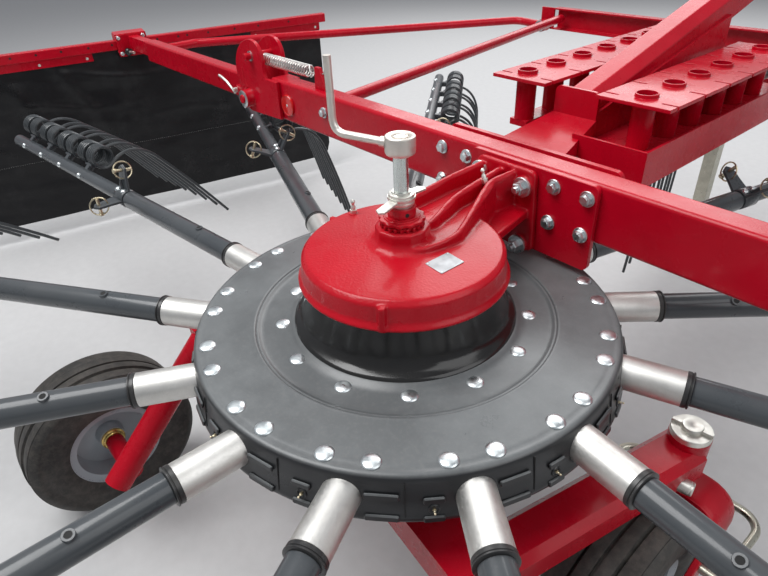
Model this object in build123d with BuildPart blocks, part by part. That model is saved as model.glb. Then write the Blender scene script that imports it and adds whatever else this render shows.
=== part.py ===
"""Single rotor rotary rake, built piece by piece in millimetres.

X points to the right of the machine, Y forwards and Z up, with the ground at 0.
"""

import math
import os

from build123d import *

os.makedirs("parts", exist_ok=True)

# Heights that the whole machine hangs from
DISC_TOP = 685.0
ARM_Z = DISC_TOP - 42.0
FRAME_X = -77.0

# Rotor disc
DISC_TOP_R = 376.0
DISC_RIM_R = DISC_TOP_R + 21.0
RIM_DEPTH = 80.0
SKIN = 5.0
NECK_BASE_R = 202.0
NECK_TOP_R = 168.0
NECK_H = 78.0
COLUMN_R = 70.0
RUN_GAP = 0.05

# Tine arms
ARM_COUNT = 13
ARM_FIRST_AZ = 187.1
ARM_STEP = 360.0 / ARM_COUNT
ARM_OFFSET = 47.0
STUB_R = 29.5
STUB_END = 482.0
COLLAR_R = 31.0
COLLAR_W = 12.0
TUBE_R = 25.0
TUBE_END = 985.0
CARRIER_R = 20.0
CARRIER_END = 1804.0
BUSH_AT = 625.0
BUSH_R = 9.0
BUSH_BORE_R = 5.5
TINE_WIRE_R = 5.0
TINE_STEP = 73.0
TINE_FIRST = 1236.0
TINE_KNEE = (-168.0, -122.0)
TINE_TIP = (-160.0, -500.0)
COIL_SIDES = 12
COIL_R = 36.0
COIL_W = 62.0
COIL_DIST = 73.0
TINE_TILTS = (40.0, 52.0, 55.0, 55.0, 50.0, 35.0, 15.0, 0.0, 0.0, 0.0, 0.0, 0.0, 18.0)

# Gearbox cover
COVER_R = 184.0
COVER_TOP_R = 178.0
COVER_BOTTOM = DISC_TOP + 86.0
COVER_TOP = DISC_TOP + 137.0
BOSS_TOP = DISC_TOP + 152.0
FLANGE_TOP = DISC_TOP + 186.0
FLANGE_T = 13.0
RIB_T = 13.0

# Cross beam with the plates that clamp it
BEAM_Y = 335.0
BEAM_D = 60.0
BEAM_Z = DISC_TOP + 73.0
BEAM_H = 120.0
BEAM_HALF = 900.0
PLATE_T = 12.0
PLATE_LOW = DISC_TOP + 14.0
PLATE_HIGH = DISC_TOP + 192.0
PLATE_LEFT = -140.0
PLATE_RIGHT = 168.0
PLATE_ROUND = 14.0

# Main beam and drawbar
ROOT_W = 186.0
ROOT_TOP = DISC_TOP + 164.0
CAP_TOP = DISC_TOP + 208.0
CAP_Y = 602.0
TAB_TOP = DISC_TOP + 267.0
MAIN_W = 112.0
MAIN_H = 98.0
MAIN_TOP = DISC_TOP + 160.0
MAIN_END = 1260.0
BAR_W = 92.0
BAR_H = 100.0
BAR_SLOPE = 14.5
BAR_START_Z = DISC_TOP + 262.0
BAR_END_Y = 2000.0
BEVEL = 22.0
CHEEK_T = 8.0

# Storage racks
RACK_TOP = DISC_TOP + 275.0
RACK_T = 8.0
RACK_W = 152.0
RACK_START = 556.5
RACK_PITCH = 111.0
RACK_OFF = 152.5
RACK_GAP = 15.0
SLOT_L = 40.0
SLOT_W = 6.0
SOCKET_R = 24.0
SOCKET_BORE_R = 20.5
SOCKET_LIP = 8.0
FOOT_T = 16.0
TRAY_START = 512.0
TRAY_T = 6.0
TRAY_EDGE = 151.0
TRAY_RISE = 40.0
TRAY_DROP = 40.0

# Headstock
HEAD_Y = 2060.0
LINK_Z = 640.0
INPUT_Z = 790.0
SHAFT_R = 17.5
JOURNAL_R = 20.0
STUB_SHAFT_L = 84.0
LINK_SPAN = 825.0
LINK_PIN_R = 14.0
LINK_PIN_L = 110.0
LINK_BAR = 330.0
RELIEF = 3.0
TOP_PIN_Z = 1200.0
TOP_BORE_R = 12.75
PLATE_W = 14.0

# Curtain side, placed from the left end of the cross beam
BEAM_LEFT = FRAME_X - BEAM_HALF
HINGE_X = BEAM_LEFT - 128.0
HINGE_Z = DISC_TOP + 113.0
HINGE_PLATE_T = 12.0
LOBE_TOP = DISC_TOP + 298.0
SPRING_PIN_R = 10.0
SPRING_Z = DISC_TOP + 234.0
SPRING_R = 19.5
SPRING_END = BEAM_LEFT + 178.0
ANCHOR_X = BEAM_LEFT + 202.0
ANCHOR_W = 54.0
ANCHOR_TOP = DISC_TOP + 252.0
CURTAIN_ARM_END = HINGE_X - 905.0
CURTAIN_ARM_H = 83.0
CURTAIN_ARM_D = 50.0
CURTAIN_ARM_WALL = 5.0
PIN_R = 17.0
PIN_GAP = 0.05
FOLD_PIN_R = 12.0
GUARD_R = 17.0
RAIL_Z = DISC_TOP + 131.0
RAIL_REAR = (CURTAIN_ARM_END - 459.0, -640.0)
RAIL_FRONT = (CURTAIN_ARM_END - 58.0, 1300.0)
RAIL_W = 40.0
RAIL_WALL = 3.0
RAIL_ROUND = 5.0
CLAMP_HALF_X = 42.0
CLAMP_HALF_Y = 62.0
CLAMP_RISE = 44.0
CURTAIN_T = 4.0
CURTAIN_BOTTOM = 85.0

# Front cross member, which reaches past the fold line of the curtain side
FRONT_Y = 1880.0
FRONT_Z = DISC_TOP + 95.0
FRONT_H = 90.0
FRONT_W = 40.0
FRONT_LAP = 34.0
FRONT_HALF = FRAME_X - HINGE_X + FRONT_LAP

# Undercarriage
WHEEL_R = 205.0
TYRE_W = 150.0
RIM_R = 117.5
REAR_X = 631.0
REAR_Y = -476.0
AXLE_Z = WHEEL_R
AXLE_R = 14.0
KING_X = 450.0
KING_Y = 270.0
TRAIL = 147.0
HOOP_Z = 300.0
HOOP_R = 8.0
HOOP_HALF = 140.0
SIDE_ARM_Z = 464.0
SIDE_ARM_H = 72.0
SIDE_ARM_W = 84.0
SIDE_START = (345.0, -230.0)
CHASSIS_TOP = DISC_TOP - 100.0

# Parking stand
STAND_X = -275.0
STAND_Y = HEAD_Y - 76.0
STAND_W = 50.0
SLEEVE_W = 72.0
SLIDE_GAP = 0.3


def put(shape):
    """Adds a ready shape to the piece that is being built."""
    add(shape)


def cut_by(*pieces):
    """Takes the room of finished neighbours out of the piece that is being built."""
    for neighbour in pieces:
        add(neighbour.part, mode=Mode.SUBTRACT)


def rod(start, end, radius, mode=Mode.ADD):
    """Round bar between two points."""
    line = Vector(*end) - Vector(*start)
    with BuildSketch(Plane(origin=start, z_dir=line)) as section:
        Circle(radius)
    extrude(section.sketch, amount=line.length, mode=mode)


def block(x0, x1, y0, y1, z0, z1, mode=Mode.ADD):
    """Upright box given by its limits."""
    with Locations(((x0 + x1) / 2, (y0 + y1) / 2, (z0 + z1) / 2)):
        Box(x1 - x0, y1 - y0, z1 - z0, mode=mode)


def bar(start, end, width, height, bevel=0.0, side=(1, 0, 0)):
    """Straight bar of rectangular section, with bevelled edges if asked for."""
    line = Vector(*end) - Vector(*start)
    with BuildSketch(Plane(origin=start, x_dir=side, z_dir=line)) as section:
        Rectangle(width, height)
        if bevel:
            chamfer(section.vertices(), bevel)
    extrude(section.sketch, amount=line.length)


def bent_bar(points, radius, bend):
    """Round bar along a bent line."""
    with BuildLine() as path:
        FilletPolyline(*points, radius=bend)
    with BuildSketch(Plane(origin=path.line @ 0, z_dir=path.line % 0)) as section:
        Circle(radius)
    sweep(section.sketch, path=path.line)


def ring(outer, inner, z0, z1):
    """Upright ring about the rotor's axis."""
    with BuildSketch(Plane.XY.offset(z0)) as section:
        Circle(outer)
        Circle(inner, mode=Mode.SUBTRACT)
    extrude(section.sketch, amount=z1 - z0)


def side_plate(points, x0, x1, mode=Mode.ADD):
    """Plate with a profile given as Y and Z, between two X limits."""
    with BuildSketch(Plane(origin=(x0, 0, 0), x_dir=(0, 1, 0), z_dir=(1, 0, 0))) as section:
        with BuildLine():
            Polyline(*points, close=True)
        make_face()
    extrude(section.sketch, amount=x1 - x0, mode=mode)


def front_plate(points, y0, y1, rounding=0.0, mode=Mode.ADD):
    """Plate with a profile given as X and Z, between two Y limits, its corners rounded if asked for."""
    with BuildSketch(Plane(origin=(0, y1, 0), x_dir=(1, 0, 0), z_dir=(0, -1, 0))) as section:
        with BuildLine():
            Polyline(*points, close=True)
        make_face()
        if rounding:
            fillet(section.vertices(), rounding)
    extrude(section.sketch, amount=y1 - y0, mode=mode)


def flat_plate(points, z0, z1, mode=Mode.ADD):
    """Plate with a plan outline, between two heights."""
    with BuildSketch(Plane.XY.offset(z0)) as section:
        with BuildLine():
            Polyline(*points, close=True)
        make_face()
    extrude(section.sketch, amount=z1 - z0, mode=mode)


def rib_wall(points, thickness, z0, z1):
    """Upright wall of even thickness along a line given in plan."""
    with BuildSketch(Plane.XY.offset(z0)) as section:
        with BuildLine():
            Polyline(*points)
        trace(line_width=thickness)
    extrude(section.sketch, amount=z1 - z0)


def arm_place(index):
    """Place of one arm: local X runs outwards, local Y to the leading side."""
    azimuth = ARM_FIRST_AZ + ARM_STEP * index
    return Location((0, 0, ARM_Z), (0, 0, azimuth)) * Location((0, ARM_OFFSET, 0))


def turned(v, w, degrees):
    """Point of the arm's cross section turned about the arm's axis."""
    a = math.radians(degrees)
    return (v * math.cos(a) - w * math.sin(a), v * math.sin(a) + w * math.cos(a))


def save(piece, name):
    """Names a piece and puts it on the list of pieces."""
    piece.part.label = name
    PIECES.append(piece.part)


PIECES = []

# Rotor disc, one moulded skin with its rim and neck
with BuildPart() as rotor_disc:
    with BuildSketch(Plane.XZ):
        with BuildLine():
            Polyline(
                (DISC_RIM_R, DISC_TOP - RIM_DEPTH),
                (DISC_TOP_R + 5, DISC_TOP - 5),
                (DISC_TOP_R, DISC_TOP),
                (276, DISC_TOP),
                (266, DISC_TOP - 5),
                (NECK_BASE_R + 16, DISC_TOP - 5),
                (NECK_BASE_R, DISC_TOP + 4),
                (NECK_TOP_R + 14, DISC_TOP + 22),
                (NECK_TOP_R, DISC_TOP + NECK_H),
                (NECK_TOP_R - SKIN, DISC_TOP + NECK_H),
                (NECK_TOP_R + 14 - SKIN, DISC_TOP + 20),
                (NECK_BASE_R - SKIN, DISC_TOP),
                (NECK_BASE_R - SKIN, DISC_TOP - 5 - SKIN),
                (DISC_TOP_R, DISC_TOP - 5 - SKIN),
                (DISC_RIM_R - SKIN, DISC_TOP - RIM_DEPTH),
                close=True,
            )
        make_face()
    revolve(axis=Axis.Z)
    for k in range(ARM_COUNT):
        place = arm_place(k)
        with BuildSketch(Plane(place * Location((300, 0, 0), (0, 90, 0)))):
            Circle(STUB_R)
        extrude(amount=150, mode=Mode.SUBTRACT)
save(rotor_disc, "rotor_disc")

# Cam drum below the skin that carries the arms
with BuildPart() as rotor_drum:
    ring(NECK_BASE_R + 40, COLUMN_R + RUN_GAP, DISC_TOP - 72, DISC_TOP - 5 - SKIN)
    ring(DISC_TOP_R - 4, NECK_BASE_R + 40, DISC_TOP - 72, DISC_TOP - 12)
    for k in range(ARM_COUNT):
        place = arm_place(k)
        with BuildSketch(Plane(place * Location((300, 0, 0), (0, 90, 0)))):
            Circle(STUB_R)
        extrude(amount=150, mode=Mode.SUBTRACT)
save(rotor_drum, "rotor_drum")

# Bearing tubes of the arms
with BuildPart() as arm_stubs:
    for k in range(ARM_COUNT):
        with BuildSketch(Plane(arm_place(k) * Location((300, 0, 0), (0, 90, 0)))):
            Circle(STUB_R)
        extrude(amount=STUB_END - 300)
save(arm_stubs, "arm_stubs")

# Clamp rings between the bearing tubes and the arms
with BuildPart() as arm_collars:
    for k in range(ARM_COUNT):
        with BuildSketch(Plane(arm_place(k) * Location((STUB_END, 0, 0), (0, 90, 0)))):
            Circle(COLLAR_R)
        extrude(amount=COLLAR_W)
save(arm_collars, "arm_collars")

# Coils of one set of double spring tines at its lowered tilt
with BuildPart() as coil_set:
    for k in range(4):
        centre = TINE_FIRST + (2 * k + 0.5) * TINE_STEP
        cv, cw = turned(-COIL_DIST, 0, -6)
        with BuildSketch(Plane(origin=(centre - COIL_W, cv, cw), z_dir=(1, 0, 0))):
            RegularPolygon(COIL_R, COIL_SIDES)
            RegularPolygon(COIL_R - 2 * TINE_WIRE_R, COIL_SIDES, mode=Mode.SUBTRACT)
        extrude(amount=2 * COIL_W)

# Wires of the same set, each from its coil's underside to its tip on the ground
with BuildPart() as wire_set:
    for k in range(4):
        centre = TINE_FIRST + (2 * k + 0.5) * TINE_STEP
        cv, cw = turned(-COIL_DIST, 0, -6)
        for s in (-1, 1):
            u = centre + s * TINE_STEP / 2
            root = (u, cv - 3, cw - COIL_R + TINE_WIRE_R)
            with BuildLine() as path:
                Polyline(root, (u, *TINE_KNEE), (u, *TINE_TIP))
            with BuildSketch(Plane(origin=path.line @ 0, z_dir=path.line % 0)) as section:
                RegularPolygon(TINE_WIRE_R * 1.05, 6)
            sweep(section.sketch, path=path.line, transition=Transition.RIGHT)
    cut_by(coil_set)

# One tine arm at its lowered tilt: tube, carrier and latch plate, then the tines
with BuildPart() as arm_tube:
    rod((STUB_END + COLLAR_W, 0, 0), (TUBE_END, 0, 0), TUBE_R)
    rod((TUBE_END - 30, 0, 0), (CARRIER_END, 0, 0), CARRIER_R)
    # Cross bush that the latch pin of the rack takes
    bush_v, bush_w = turned(0, 1, -40)
    rod(
        (BUSH_AT, -(TUBE_R + 4) * bush_v, -(TUBE_R + 4) * bush_w),
        (BUSH_AT, (TUBE_R + 4) * bush_v, (TUBE_R + 4) * bush_w),
        BUSH_R,
    )
    rod(
        (BUSH_AT, -(TUBE_R + 9) * bush_v, -(TUBE_R + 9) * bush_w),
        (BUSH_AT, (TUBE_R + 9) * bush_v, (TUBE_R + 9) * bush_w),
        BUSH_BORE_R,
        mode=Mode.SUBTRACT,
    )
    # Clamp saddle and its two bent ears
    rod((TUBE_END + 2, 0, 0), (TUBE_END + 52, 0, 0), CARRIER_R + 6)
    for ear in (-1, 1):
        v0, w0 = turned(0, CARRIER_R + 2, 50 * ear)
        v1, w1 = turned(0, CARRIER_R + 74, 50 * ear + 12)
        with BuildSketch(Plane(origin=(TUBE_END + 27, v0, w0), x_dir=(1, 0, 0), z_dir=(0, v1 - v0, w1 - w0))):
            Rectangle(40, 7)
        extrude(amount=math.hypot(v1 - v0, w1 - w0))
    # Tine clamps between the carrier and the coils
    for k in range(4):
        u = TINE_FIRST + (2 * k + 0.5) * TINE_STEP
        block(u - 9, u + 9, COIL_R - COIL_DIST - 4, 0, -9, 9)
    cut_by(coil_set)

# All arms on the rotor, each tilted as its cam place asks
with BuildPart() as tine_arms:
    for k in range(ARM_COUNT):
        put(arm_tube.part.moved(arm_place(k) * Location((0, 0, 0), (-TINE_TILTS[k], 0, 0))))
save(tine_arms, "tine_arms")

# Double spring tines of every arm, coils and wires as solids of their own
tine_solids = coil_set.part.solids() + wire_set.part.solids()
tine_copies = []
for k in range(ARM_COUNT):
    tilt = arm_place(k) * Location((0, 0, 0), (-TINE_TILTS[k], 0, 0))
    tine_copies += [solid.moved(tilt) for solid in tine_solids]
tines = Compound(children=tine_copies)
tines.label = "tines"
PIECES.append(tines)

# Fixed column through the rotor
with BuildPart() as column:
    with BuildSketch(Plane.XY.offset(CHASSIS_TOP - 90)):
        Circle(COLUMN_R)
    extrude(amount=COVER_BOTTOM - CHASSIS_TOP + 90)
save(column, "column")

# Cast gearbox cover: ribs that rise to the flange, the nose between them, then the round lid
FACE_Y = BEAM_Y - PLATE_T
FLANGE_Y = FACE_Y - FLANGE_T
RIB_RIGHT = [(56, -3), (64, 39), (63, 73), (34, 135), (-19, 253), (-13, FLANGE_Y)]
RIB_MIDDLE = [(0, 46), (0, 74), (-30, 162), (-45, FLANGE_Y)]
RIB_LEFT = [(-60, 20), (-89, 108), (-96, 208), (-90, FLANGE_Y)]
RIB_RISE = 22.0

with BuildPart() as gear_cover:
    for line in (RIB_RIGHT, RIB_MIDDLE, RIB_LEFT):
        rib_wall(line, RIB_T, COVER_BOTTOM, BOSS_TOP + RIB_RISE + 10)
    # Rib tops rise towards the flange
    top = [(-30, BOSS_TOP - 3), (FLANGE_Y, BOSS_TOP + RIB_RISE), (FLANGE_Y, FLANGE_TOP + 40), (-30, FLANGE_TOP + 40)]
    side_plate(top, -COVER_R, COVER_R, mode=Mode.SUBTRACT)
    flat_plate([*RIB_RIGHT, *reversed(RIB_LEFT)], COVER_BOTTOM, COVER_TOP + 3)
    # Low shelf under the nose that ties it to the flange
    flat_plate([(-88, 150), (-68, FLANGE_Y), (29, FLANGE_Y), (62, 150)], COVER_BOTTOM, COVER_BOTTOM + 18)
    flange = [(-112, DISC_TOP + 12), (46, DISC_TOP + 12), (37, FLANGE_TOP), (-112, FLANGE_TOP)]
    front_plate(flange, FLANGE_Y, FACE_Y, rounding=PLATE_ROUND)
    with BuildSketch(Plane.XZ):
        with BuildLine():
            Polyline(
                (0, COVER_BOTTOM),
                (COVER_R, COVER_BOTTOM),
                (COVER_R, COVER_BOTTOM + 10),
                (COVER_TOP_R + 3, COVER_BOTTOM + 12),
                (COVER_TOP_R, COVER_TOP - 8),
                (COVER_TOP_R - 8, COVER_TOP),
                (60, COVER_TOP + 8),
                (46, BOSS_TOP),
                (0, BOSS_TOP),
                close=True,
            )
        make_face()
    revolve(axis=Axis.Z)
save(gear_cover, "gear_cover")

# Plate that the cover is bolted to
with BuildPart() as mount_plate:
    outline = [(PLATE_LEFT, PLATE_LOW), (PLATE_RIGHT, PLATE_LOW), (PLATE_RIGHT, PLATE_HIGH), (PLATE_LEFT, PLATE_HIGH)]
    front_plate(outline, FACE_Y, BEAM_Y, rounding=PLATE_ROUND)
save(mount_plate, "mount_plate")

# Height spindle, castle nut and knob
with BuildPart() as spindle:
    rod((0, 0, BOSS_TOP), (0, 0, BOSS_TOP + 20), 34)
    rod((0, 0, BOSS_TOP + 20), (0, 0, DISC_TOP + 200), 15)
    rod((0, 0, DISC_TOP + 200), (0, 0, DISC_TOP + 214), 26)
    rod((0, 0, DISC_TOP + 214), (0, 0, DISC_TOP + 300), 15)
    rod((0, 0, DISC_TOP + 300), (0, 0, DISC_TOP + 332), 25)
save(spindle, "spindle")

# Crank on the spindle
with BuildPart() as crank:
    bent_bar(
        [(-22, -6, DISC_TOP + 316), (-128, -36, DISC_TOP + 316), (-128, -36, DISC_TOP + 440)],
        8.5,
        24,
    )
    cut_by(spindle)
save(crank, "crank")

# Cross beam
with BuildPart() as cross_beam:
    block(FRAME_X - BEAM_HALF, FRAME_X + BEAM_HALF, BEAM_Y, BEAM_Y + BEAM_D, BEAM_Z, BEAM_Z + BEAM_H)
    fillet(cross_beam.edges().filter_by(Axis.X), 9)
save(cross_beam, "cross_beam")

# Main beam from the cross beam forwards: clamp plate, tapered root, box and the cheeks of the drawbar
with BuildPart() as main_beam:
    clamp_y = BEAM_Y + BEAM_D
    low = MAIN_TOP - MAIN_H
    clamp = [(PLATE_LEFT - 130, BEAM_Z - 10), (PLATE_RIGHT, BEAM_Z - 10), (PLATE_RIGHT, BEAM_Z + BEAM_H + 4)]
    clamp += [(PLATE_LEFT - 130, BEAM_Z + BEAM_H + 4)]
    front_plate(clamp, clamp_y, clamp_y + PLATE_T, rounding=PLATE_ROUND)
    with BuildSketch(Plane(origin=(FRAME_X, clamp_y, (low + ROOT_TOP) / 2), x_dir=(1, 0, 0), z_dir=(0, 1, 0))):
        Rectangle(ROOT_W, ROOT_TOP - low)
    with BuildSketch(Plane(origin=(FRAME_X, CAP_Y, (low + CAP_TOP) / 2), x_dir=(1, 0, 0), z_dir=(0, 1, 0))):
        Rectangle(MAIN_W, CAP_TOP - low)
    loft()
    with BuildSketch(Plane(origin=(FRAME_X, CAP_Y, MAIN_TOP - MAIN_H / 2), x_dir=(1, 0, 0), z_dir=(0, 1, 0))):
        Rectangle(MAIN_W, MAIN_H)
        fillet(vertices(), PLATE_ROUND)
    extrude(amount=MAIN_END - CAP_Y)
    # Upright tab behind the drawbar, rounded at its top
    half = MAIN_W / 2
    tab = [(FRAME_X - half, MAIN_TOP), (FRAME_X + half, MAIN_TOP), (FRAME_X + half, TAB_TOP), (FRAME_X - half, TAB_TOP)]
    front_plate(tab, CAP_Y - CHEEK_T, CAP_Y, rounding=PLATE_ROUND)
    # Cheeks that hold the drawbar
    cheek_end = MAIN_END - 80
    cheek_rise = (cheek_end - CAP_Y) * math.tan(math.radians(BAR_SLOPE)) - 25
    cheek = [(CAP_Y, MAIN_TOP), (CAP_Y, BAR_START_Z - 40), (cheek_end, BAR_START_Z - 40 + cheek_rise)]
    cheek += [(cheek_end, MAIN_TOP)]
    side_plate(cheek, FRAME_X - BAR_W / 2 - CHEEK_T, FRAME_X - BAR_W / 2)
    side_plate(cheek, FRAME_X + BAR_W / 2, FRAME_X + BAR_W / 2 + CHEEK_T)
save(main_beam, "main_beam")

# Tray on the right of the main beam, an angled sheet under the right rack
with BuildPart() as tray:
    tray_end = MAIN_END + 30
    inner = FRAME_X + BAR_W / 2 + CHEEK_T
    block(inner, TRAY_EDGE, TRAY_START, tray_end, MAIN_TOP, MAIN_TOP + TRAY_T)
    block(TRAY_EDGE - TRAY_T, TRAY_EDGE, TRAY_START, tray_end, MAIN_TOP - TRAY_DROP, MAIN_TOP + TRAY_RISE)
    block(inner, TRAY_EDGE, TRAY_START, TRAY_START + TRAY_T, MAIN_TOP - TRAY_DROP, MAIN_TOP + TRAY_RISE)
    cut_by(main_beam)
save(tray, "tray")

# Drawbar that rises to the headstock
with BuildPart() as drawbar:
    slope = math.tan(math.radians(BAR_SLOPE))
    half = BAR_H / 2 / math.cos(math.radians(BAR_SLOPE))
    bar_y = CAP_Y + CHEEK_T
    start = (FRAME_X, bar_y, BAR_START_Z - half)
    end = (FRAME_X, BAR_END_Y, BAR_START_Z - half + (BAR_END_Y - bar_y) * slope)
    line = Vector(*end) - Vector(*start)
    with BuildSketch(Plane(origin=start, x_dir=(1, 0, 0), z_dir=line)) as section:
        Rectangle(BAR_W, BAR_H)
        chamfer(section.vertices(), BEVEL)
    extrude(amount=line.length)
    cut_by(main_beam)
save(drawbar, "drawbar")


def rack_holes(count):
    """Places of a rack's sockets along the machine."""
    return [RACK_START + RACK_PITCH * (n + 0.5) for n in range(count)]


def rack(name, x, x0, x1, count, foot=False):
    """One storage rack: a slotted plate on a row of socket tubes."""
    floor = MAIN_TOP + TRAY_T
    holes = rack_holes(count)
    with BuildPart() as piece:
        block(x0, x1, holes[0] - RACK_PITCH / 2, holes[-1] + RACK_PITCH / 2, RACK_TOP - RACK_T, RACK_TOP)
        for y in holes:
            slot_y = y - 25
            for edge, inward in ((x0, 1), (x1, -1)):
                a, b = sorted((edge - inward, edge + inward * (SLOT_L - 6)))
                block(a, b, slot_y - SLOT_W / 2, slot_y + SLOT_W / 2, RACK_TOP - 20, RACK_TOP + 1, Mode.SUBTRACT)
        for y in holes:
            rod((x, y, floor), (x, y, RACK_TOP + SOCKET_LIP), SOCKET_R)
        for y in holes:
            rod((x, y, floor), (x, y, RACK_TOP + SOCKET_LIP + 10), SOCKET_BORE_R, mode=Mode.SUBTRACT)
        if foot:
            # Foot bar under the tubes and its brackets to the main beam
            block(x - 26, x + 26, holes[0] - 22, holes[-1] + 22, floor - FOOT_T, floor)
            for y in (holes[1], holes[3], holes[5]):
                block(x + 26, FRAME_X - MAIN_W / 2, y - 30, y + 30, floor - FOOT_T, MAIN_TOP - 4)
    save(piece, name)


left_inner = FRAME_X - BAR_W / 2 - RACK_GAP
right_inner = FRAME_X + BAR_W / 2 + RACK_GAP + 9
rack("rack_left", FRAME_X - RACK_OFF, left_inner - RACK_W, left_inner, 7, foot=True)
rack("rack_right", FRAME_X + RACK_OFF, right_inner, right_inner + RACK_W + 12, 6)

# Front cross member for the guard tubes, with the pin of the folding guard
with BuildPart() as front_member:
    x0, x1 = FRAME_X - FRONT_HALF, FRAME_X + FRONT_HALF
    y0, y1 = FRONT_Y, FRONT_Y + FRONT_W
    block(x0, x1, y0, y1, FRONT_Z, FRONT_Z + FRONT_H)
    block(x0 + 68, x1 - 10, y0 - 1, y1 - 7, FRONT_Z + 7, FRONT_Z + FRONT_H - 7, mode=Mode.SUBTRACT)
    block(x0 - 1, x0 + 68, y0 + 10, y1 + 1, FRONT_Z - 1, FRONT_Z + FRONT_H + 1, mode=Mode.SUBTRACT)
    rod((HINGE_X, y0 - 52, HINGE_Z), (HINGE_X, y0 + 5, HINGE_Z), FOLD_PIN_R)
    rod((HINGE_X, y0 - 54, HINGE_Z), (HINGE_X, y0 - 48, HINGE_Z), FOLD_PIN_R + 7)
    block(FRAME_X - 60, FRAME_X + 60, y0, y1, FRONT_Z, FRONT_Z + FRONT_H)
save(front_member, "front_member")

# Headstock with the top link eye and the lower link pins
with BuildPart() as headstock:
    for s in (-1, 1):
        x = FRAME_X + s * (BAR_W + PLATE_W) / 2
        lower = LINK_Z - 40
        leg = [(HEAD_Y - 60, lower), (HEAD_Y + 50, lower), (HEAD_Y + 60, TOP_PIN_Z + 30)]
        leg += [(HEAD_Y + 10, TOP_PIN_Z + 60), (HEAD_Y - 190, TOP_PIN_Z + 30), (HEAD_Y - 190, TOP_PIN_Z - 60)]
        leg += [(HEAD_Y - 60, TOP_PIN_Z - 220), (FRONT_Y + 40, FRONT_Z + FRONT_H), (FRONT_Y + 40, FRONT_Z)]
        side_plate(leg, x - PLATE_W / 2, x + PLATE_W / 2)
    bar((FRAME_X - LINK_BAR, HEAD_Y, LINK_Z), (FRAME_X + LINK_BAR, HEAD_Y, LINK_Z), 80, 80, side=(0, 1, 0))
    for s in (-1, 1):
        # Collar, relief groove and the free length of each lower link pin
        collar = LINK_BAR + 12
        free = LINK_SPAN / 2 + 45 - LINK_PIN_L
        rod((FRAME_X + s * (LINK_BAR - 8), HEAD_Y, LINK_Z), (FRAME_X + s * collar, HEAD_Y, LINK_Z), 34)
        rod((FRAME_X + s * collar, HEAD_Y, LINK_Z), (FRAME_X + s * free, HEAD_Y, LINK_Z), LINK_PIN_R - 1)
        rod((FRAME_X + s * free, HEAD_Y, LINK_Z), (FRAME_X + s * (free + LINK_PIN_L), HEAD_Y, LINK_Z), LINK_PIN_R)
    # Bore for the top link pin through both plates
    reach = BAR_W / 2 + PLATE_W + 10
    eye = HEAD_Y + 25
    rod((FRAME_X - reach, eye, TOP_PIN_Z), (FRAME_X + reach, eye, TOP_PIN_Z), TOP_BORE_R, mode=Mode.SUBTRACT)
    cut_by(drawbar)
save(headstock, "headstock")

# Guard tube of the drive line and the input gearbox
with BuildPart() as drive_tube:
    z = MAIN_TOP - MAIN_H / 2
    rod((FRAME_X, MAIN_END, z), (FRAME_X, FRONT_Y, z), 34)
save(drive_tube, "drive_tube")

FLANGE_END = HEAD_Y + 52
with BuildPart() as input_box:
    rod((FRAME_X, FRONT_Y + FRONT_W, INPUT_Z), (FRAME_X, HEAD_Y + 40, INPUT_Z), BAR_W / 2)
    rod((FRAME_X, HEAD_Y + 40, INPUT_Z), (FRAME_X, FLANGE_END, INPUT_Z), BAR_W / 2 + 12)
    rod((FRAME_X, HEAD_Y, INPUT_Z), (FRAME_X, FLANGE_END + 5, INPUT_Z), JOURNAL_R + PIN_GAP, mode=Mode.SUBTRACT)
    cut_by(headstock)
save(input_box, "input_box")

# Input shaft: its journal in the box, a relief groove and the free stub
STUB_Y = FLANGE_END + RELIEF + 1
with BuildPart() as input_shaft:
    rod((FRAME_X, HEAD_Y + 1, INPUT_Z), (FRAME_X, FLANGE_END + 1, INPUT_Z), JOURNAL_R)
    rod((FRAME_X, FLANGE_END + 1, INPUT_Z), (FRAME_X, STUB_Y, INPUT_Z), SHAFT_R - 1)
    rod((FRAME_X, STUB_Y, INPUT_Z), (FRAME_X, STUB_Y + STUB_SHAFT_L, INPUT_Z), SHAFT_R)
save(input_shaft, "input_shaft")

# Hinge plates at the left end of the cross beam, each with a lobe over the spring's pin
SPRING_PIN_X = BEAM_LEFT - 84
with BuildPart() as hinge_plates:
    lobe = [(BEAM_LEFT + 50, BEAM_Z + 4), (BEAM_LEFT + 50, BEAM_Z + BEAM_H - 4), (BEAM_LEFT - 14, BEAM_Z + BEAM_H - 4)]
    lobe += [(BEAM_LEFT - 22, BEAM_Z + BEAM_H + 14), (BEAM_LEFT - 20, LOBE_TOP - 56), (BEAM_LEFT - 26, LOBE_TOP - 30)]
    lobe += [(BEAM_LEFT - 45, LOBE_TOP - 7), (BEAM_LEFT - 89, LOBE_TOP), (BEAM_LEFT - 145, LOBE_TOP - 21)]
    lobe += [(BEAM_LEFT - 185, LOBE_TOP - 63), (BEAM_LEFT - 198, LOBE_TOP - 118), (HINGE_X - 48, HINGE_Z - 8)]
    lobe += [(HINGE_X - 30, HINGE_Z - 36), (HINGE_X, HINGE_Z - 44)]
    for y in (BEAM_Y - HINGE_PLATE_T, BEAM_Y + BEAM_D):
        front_plate(lobe, y, y + HINGE_PLATE_T)
    rod((HINGE_X, BEAM_Y - 24, HINGE_Z), (HINGE_X, BEAM_Y + BEAM_D + 24, HINGE_Z), PIN_R)
    low_y, high_y = BEAM_Y - 24, BEAM_Y + BEAM_D + 24
    rod((SPRING_PIN_X, low_y, SPRING_Z + 13), (SPRING_PIN_X, high_y, SPRING_Z + 13), SPRING_PIN_R)
save(hinge_plates, "hinge_plates")

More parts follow.
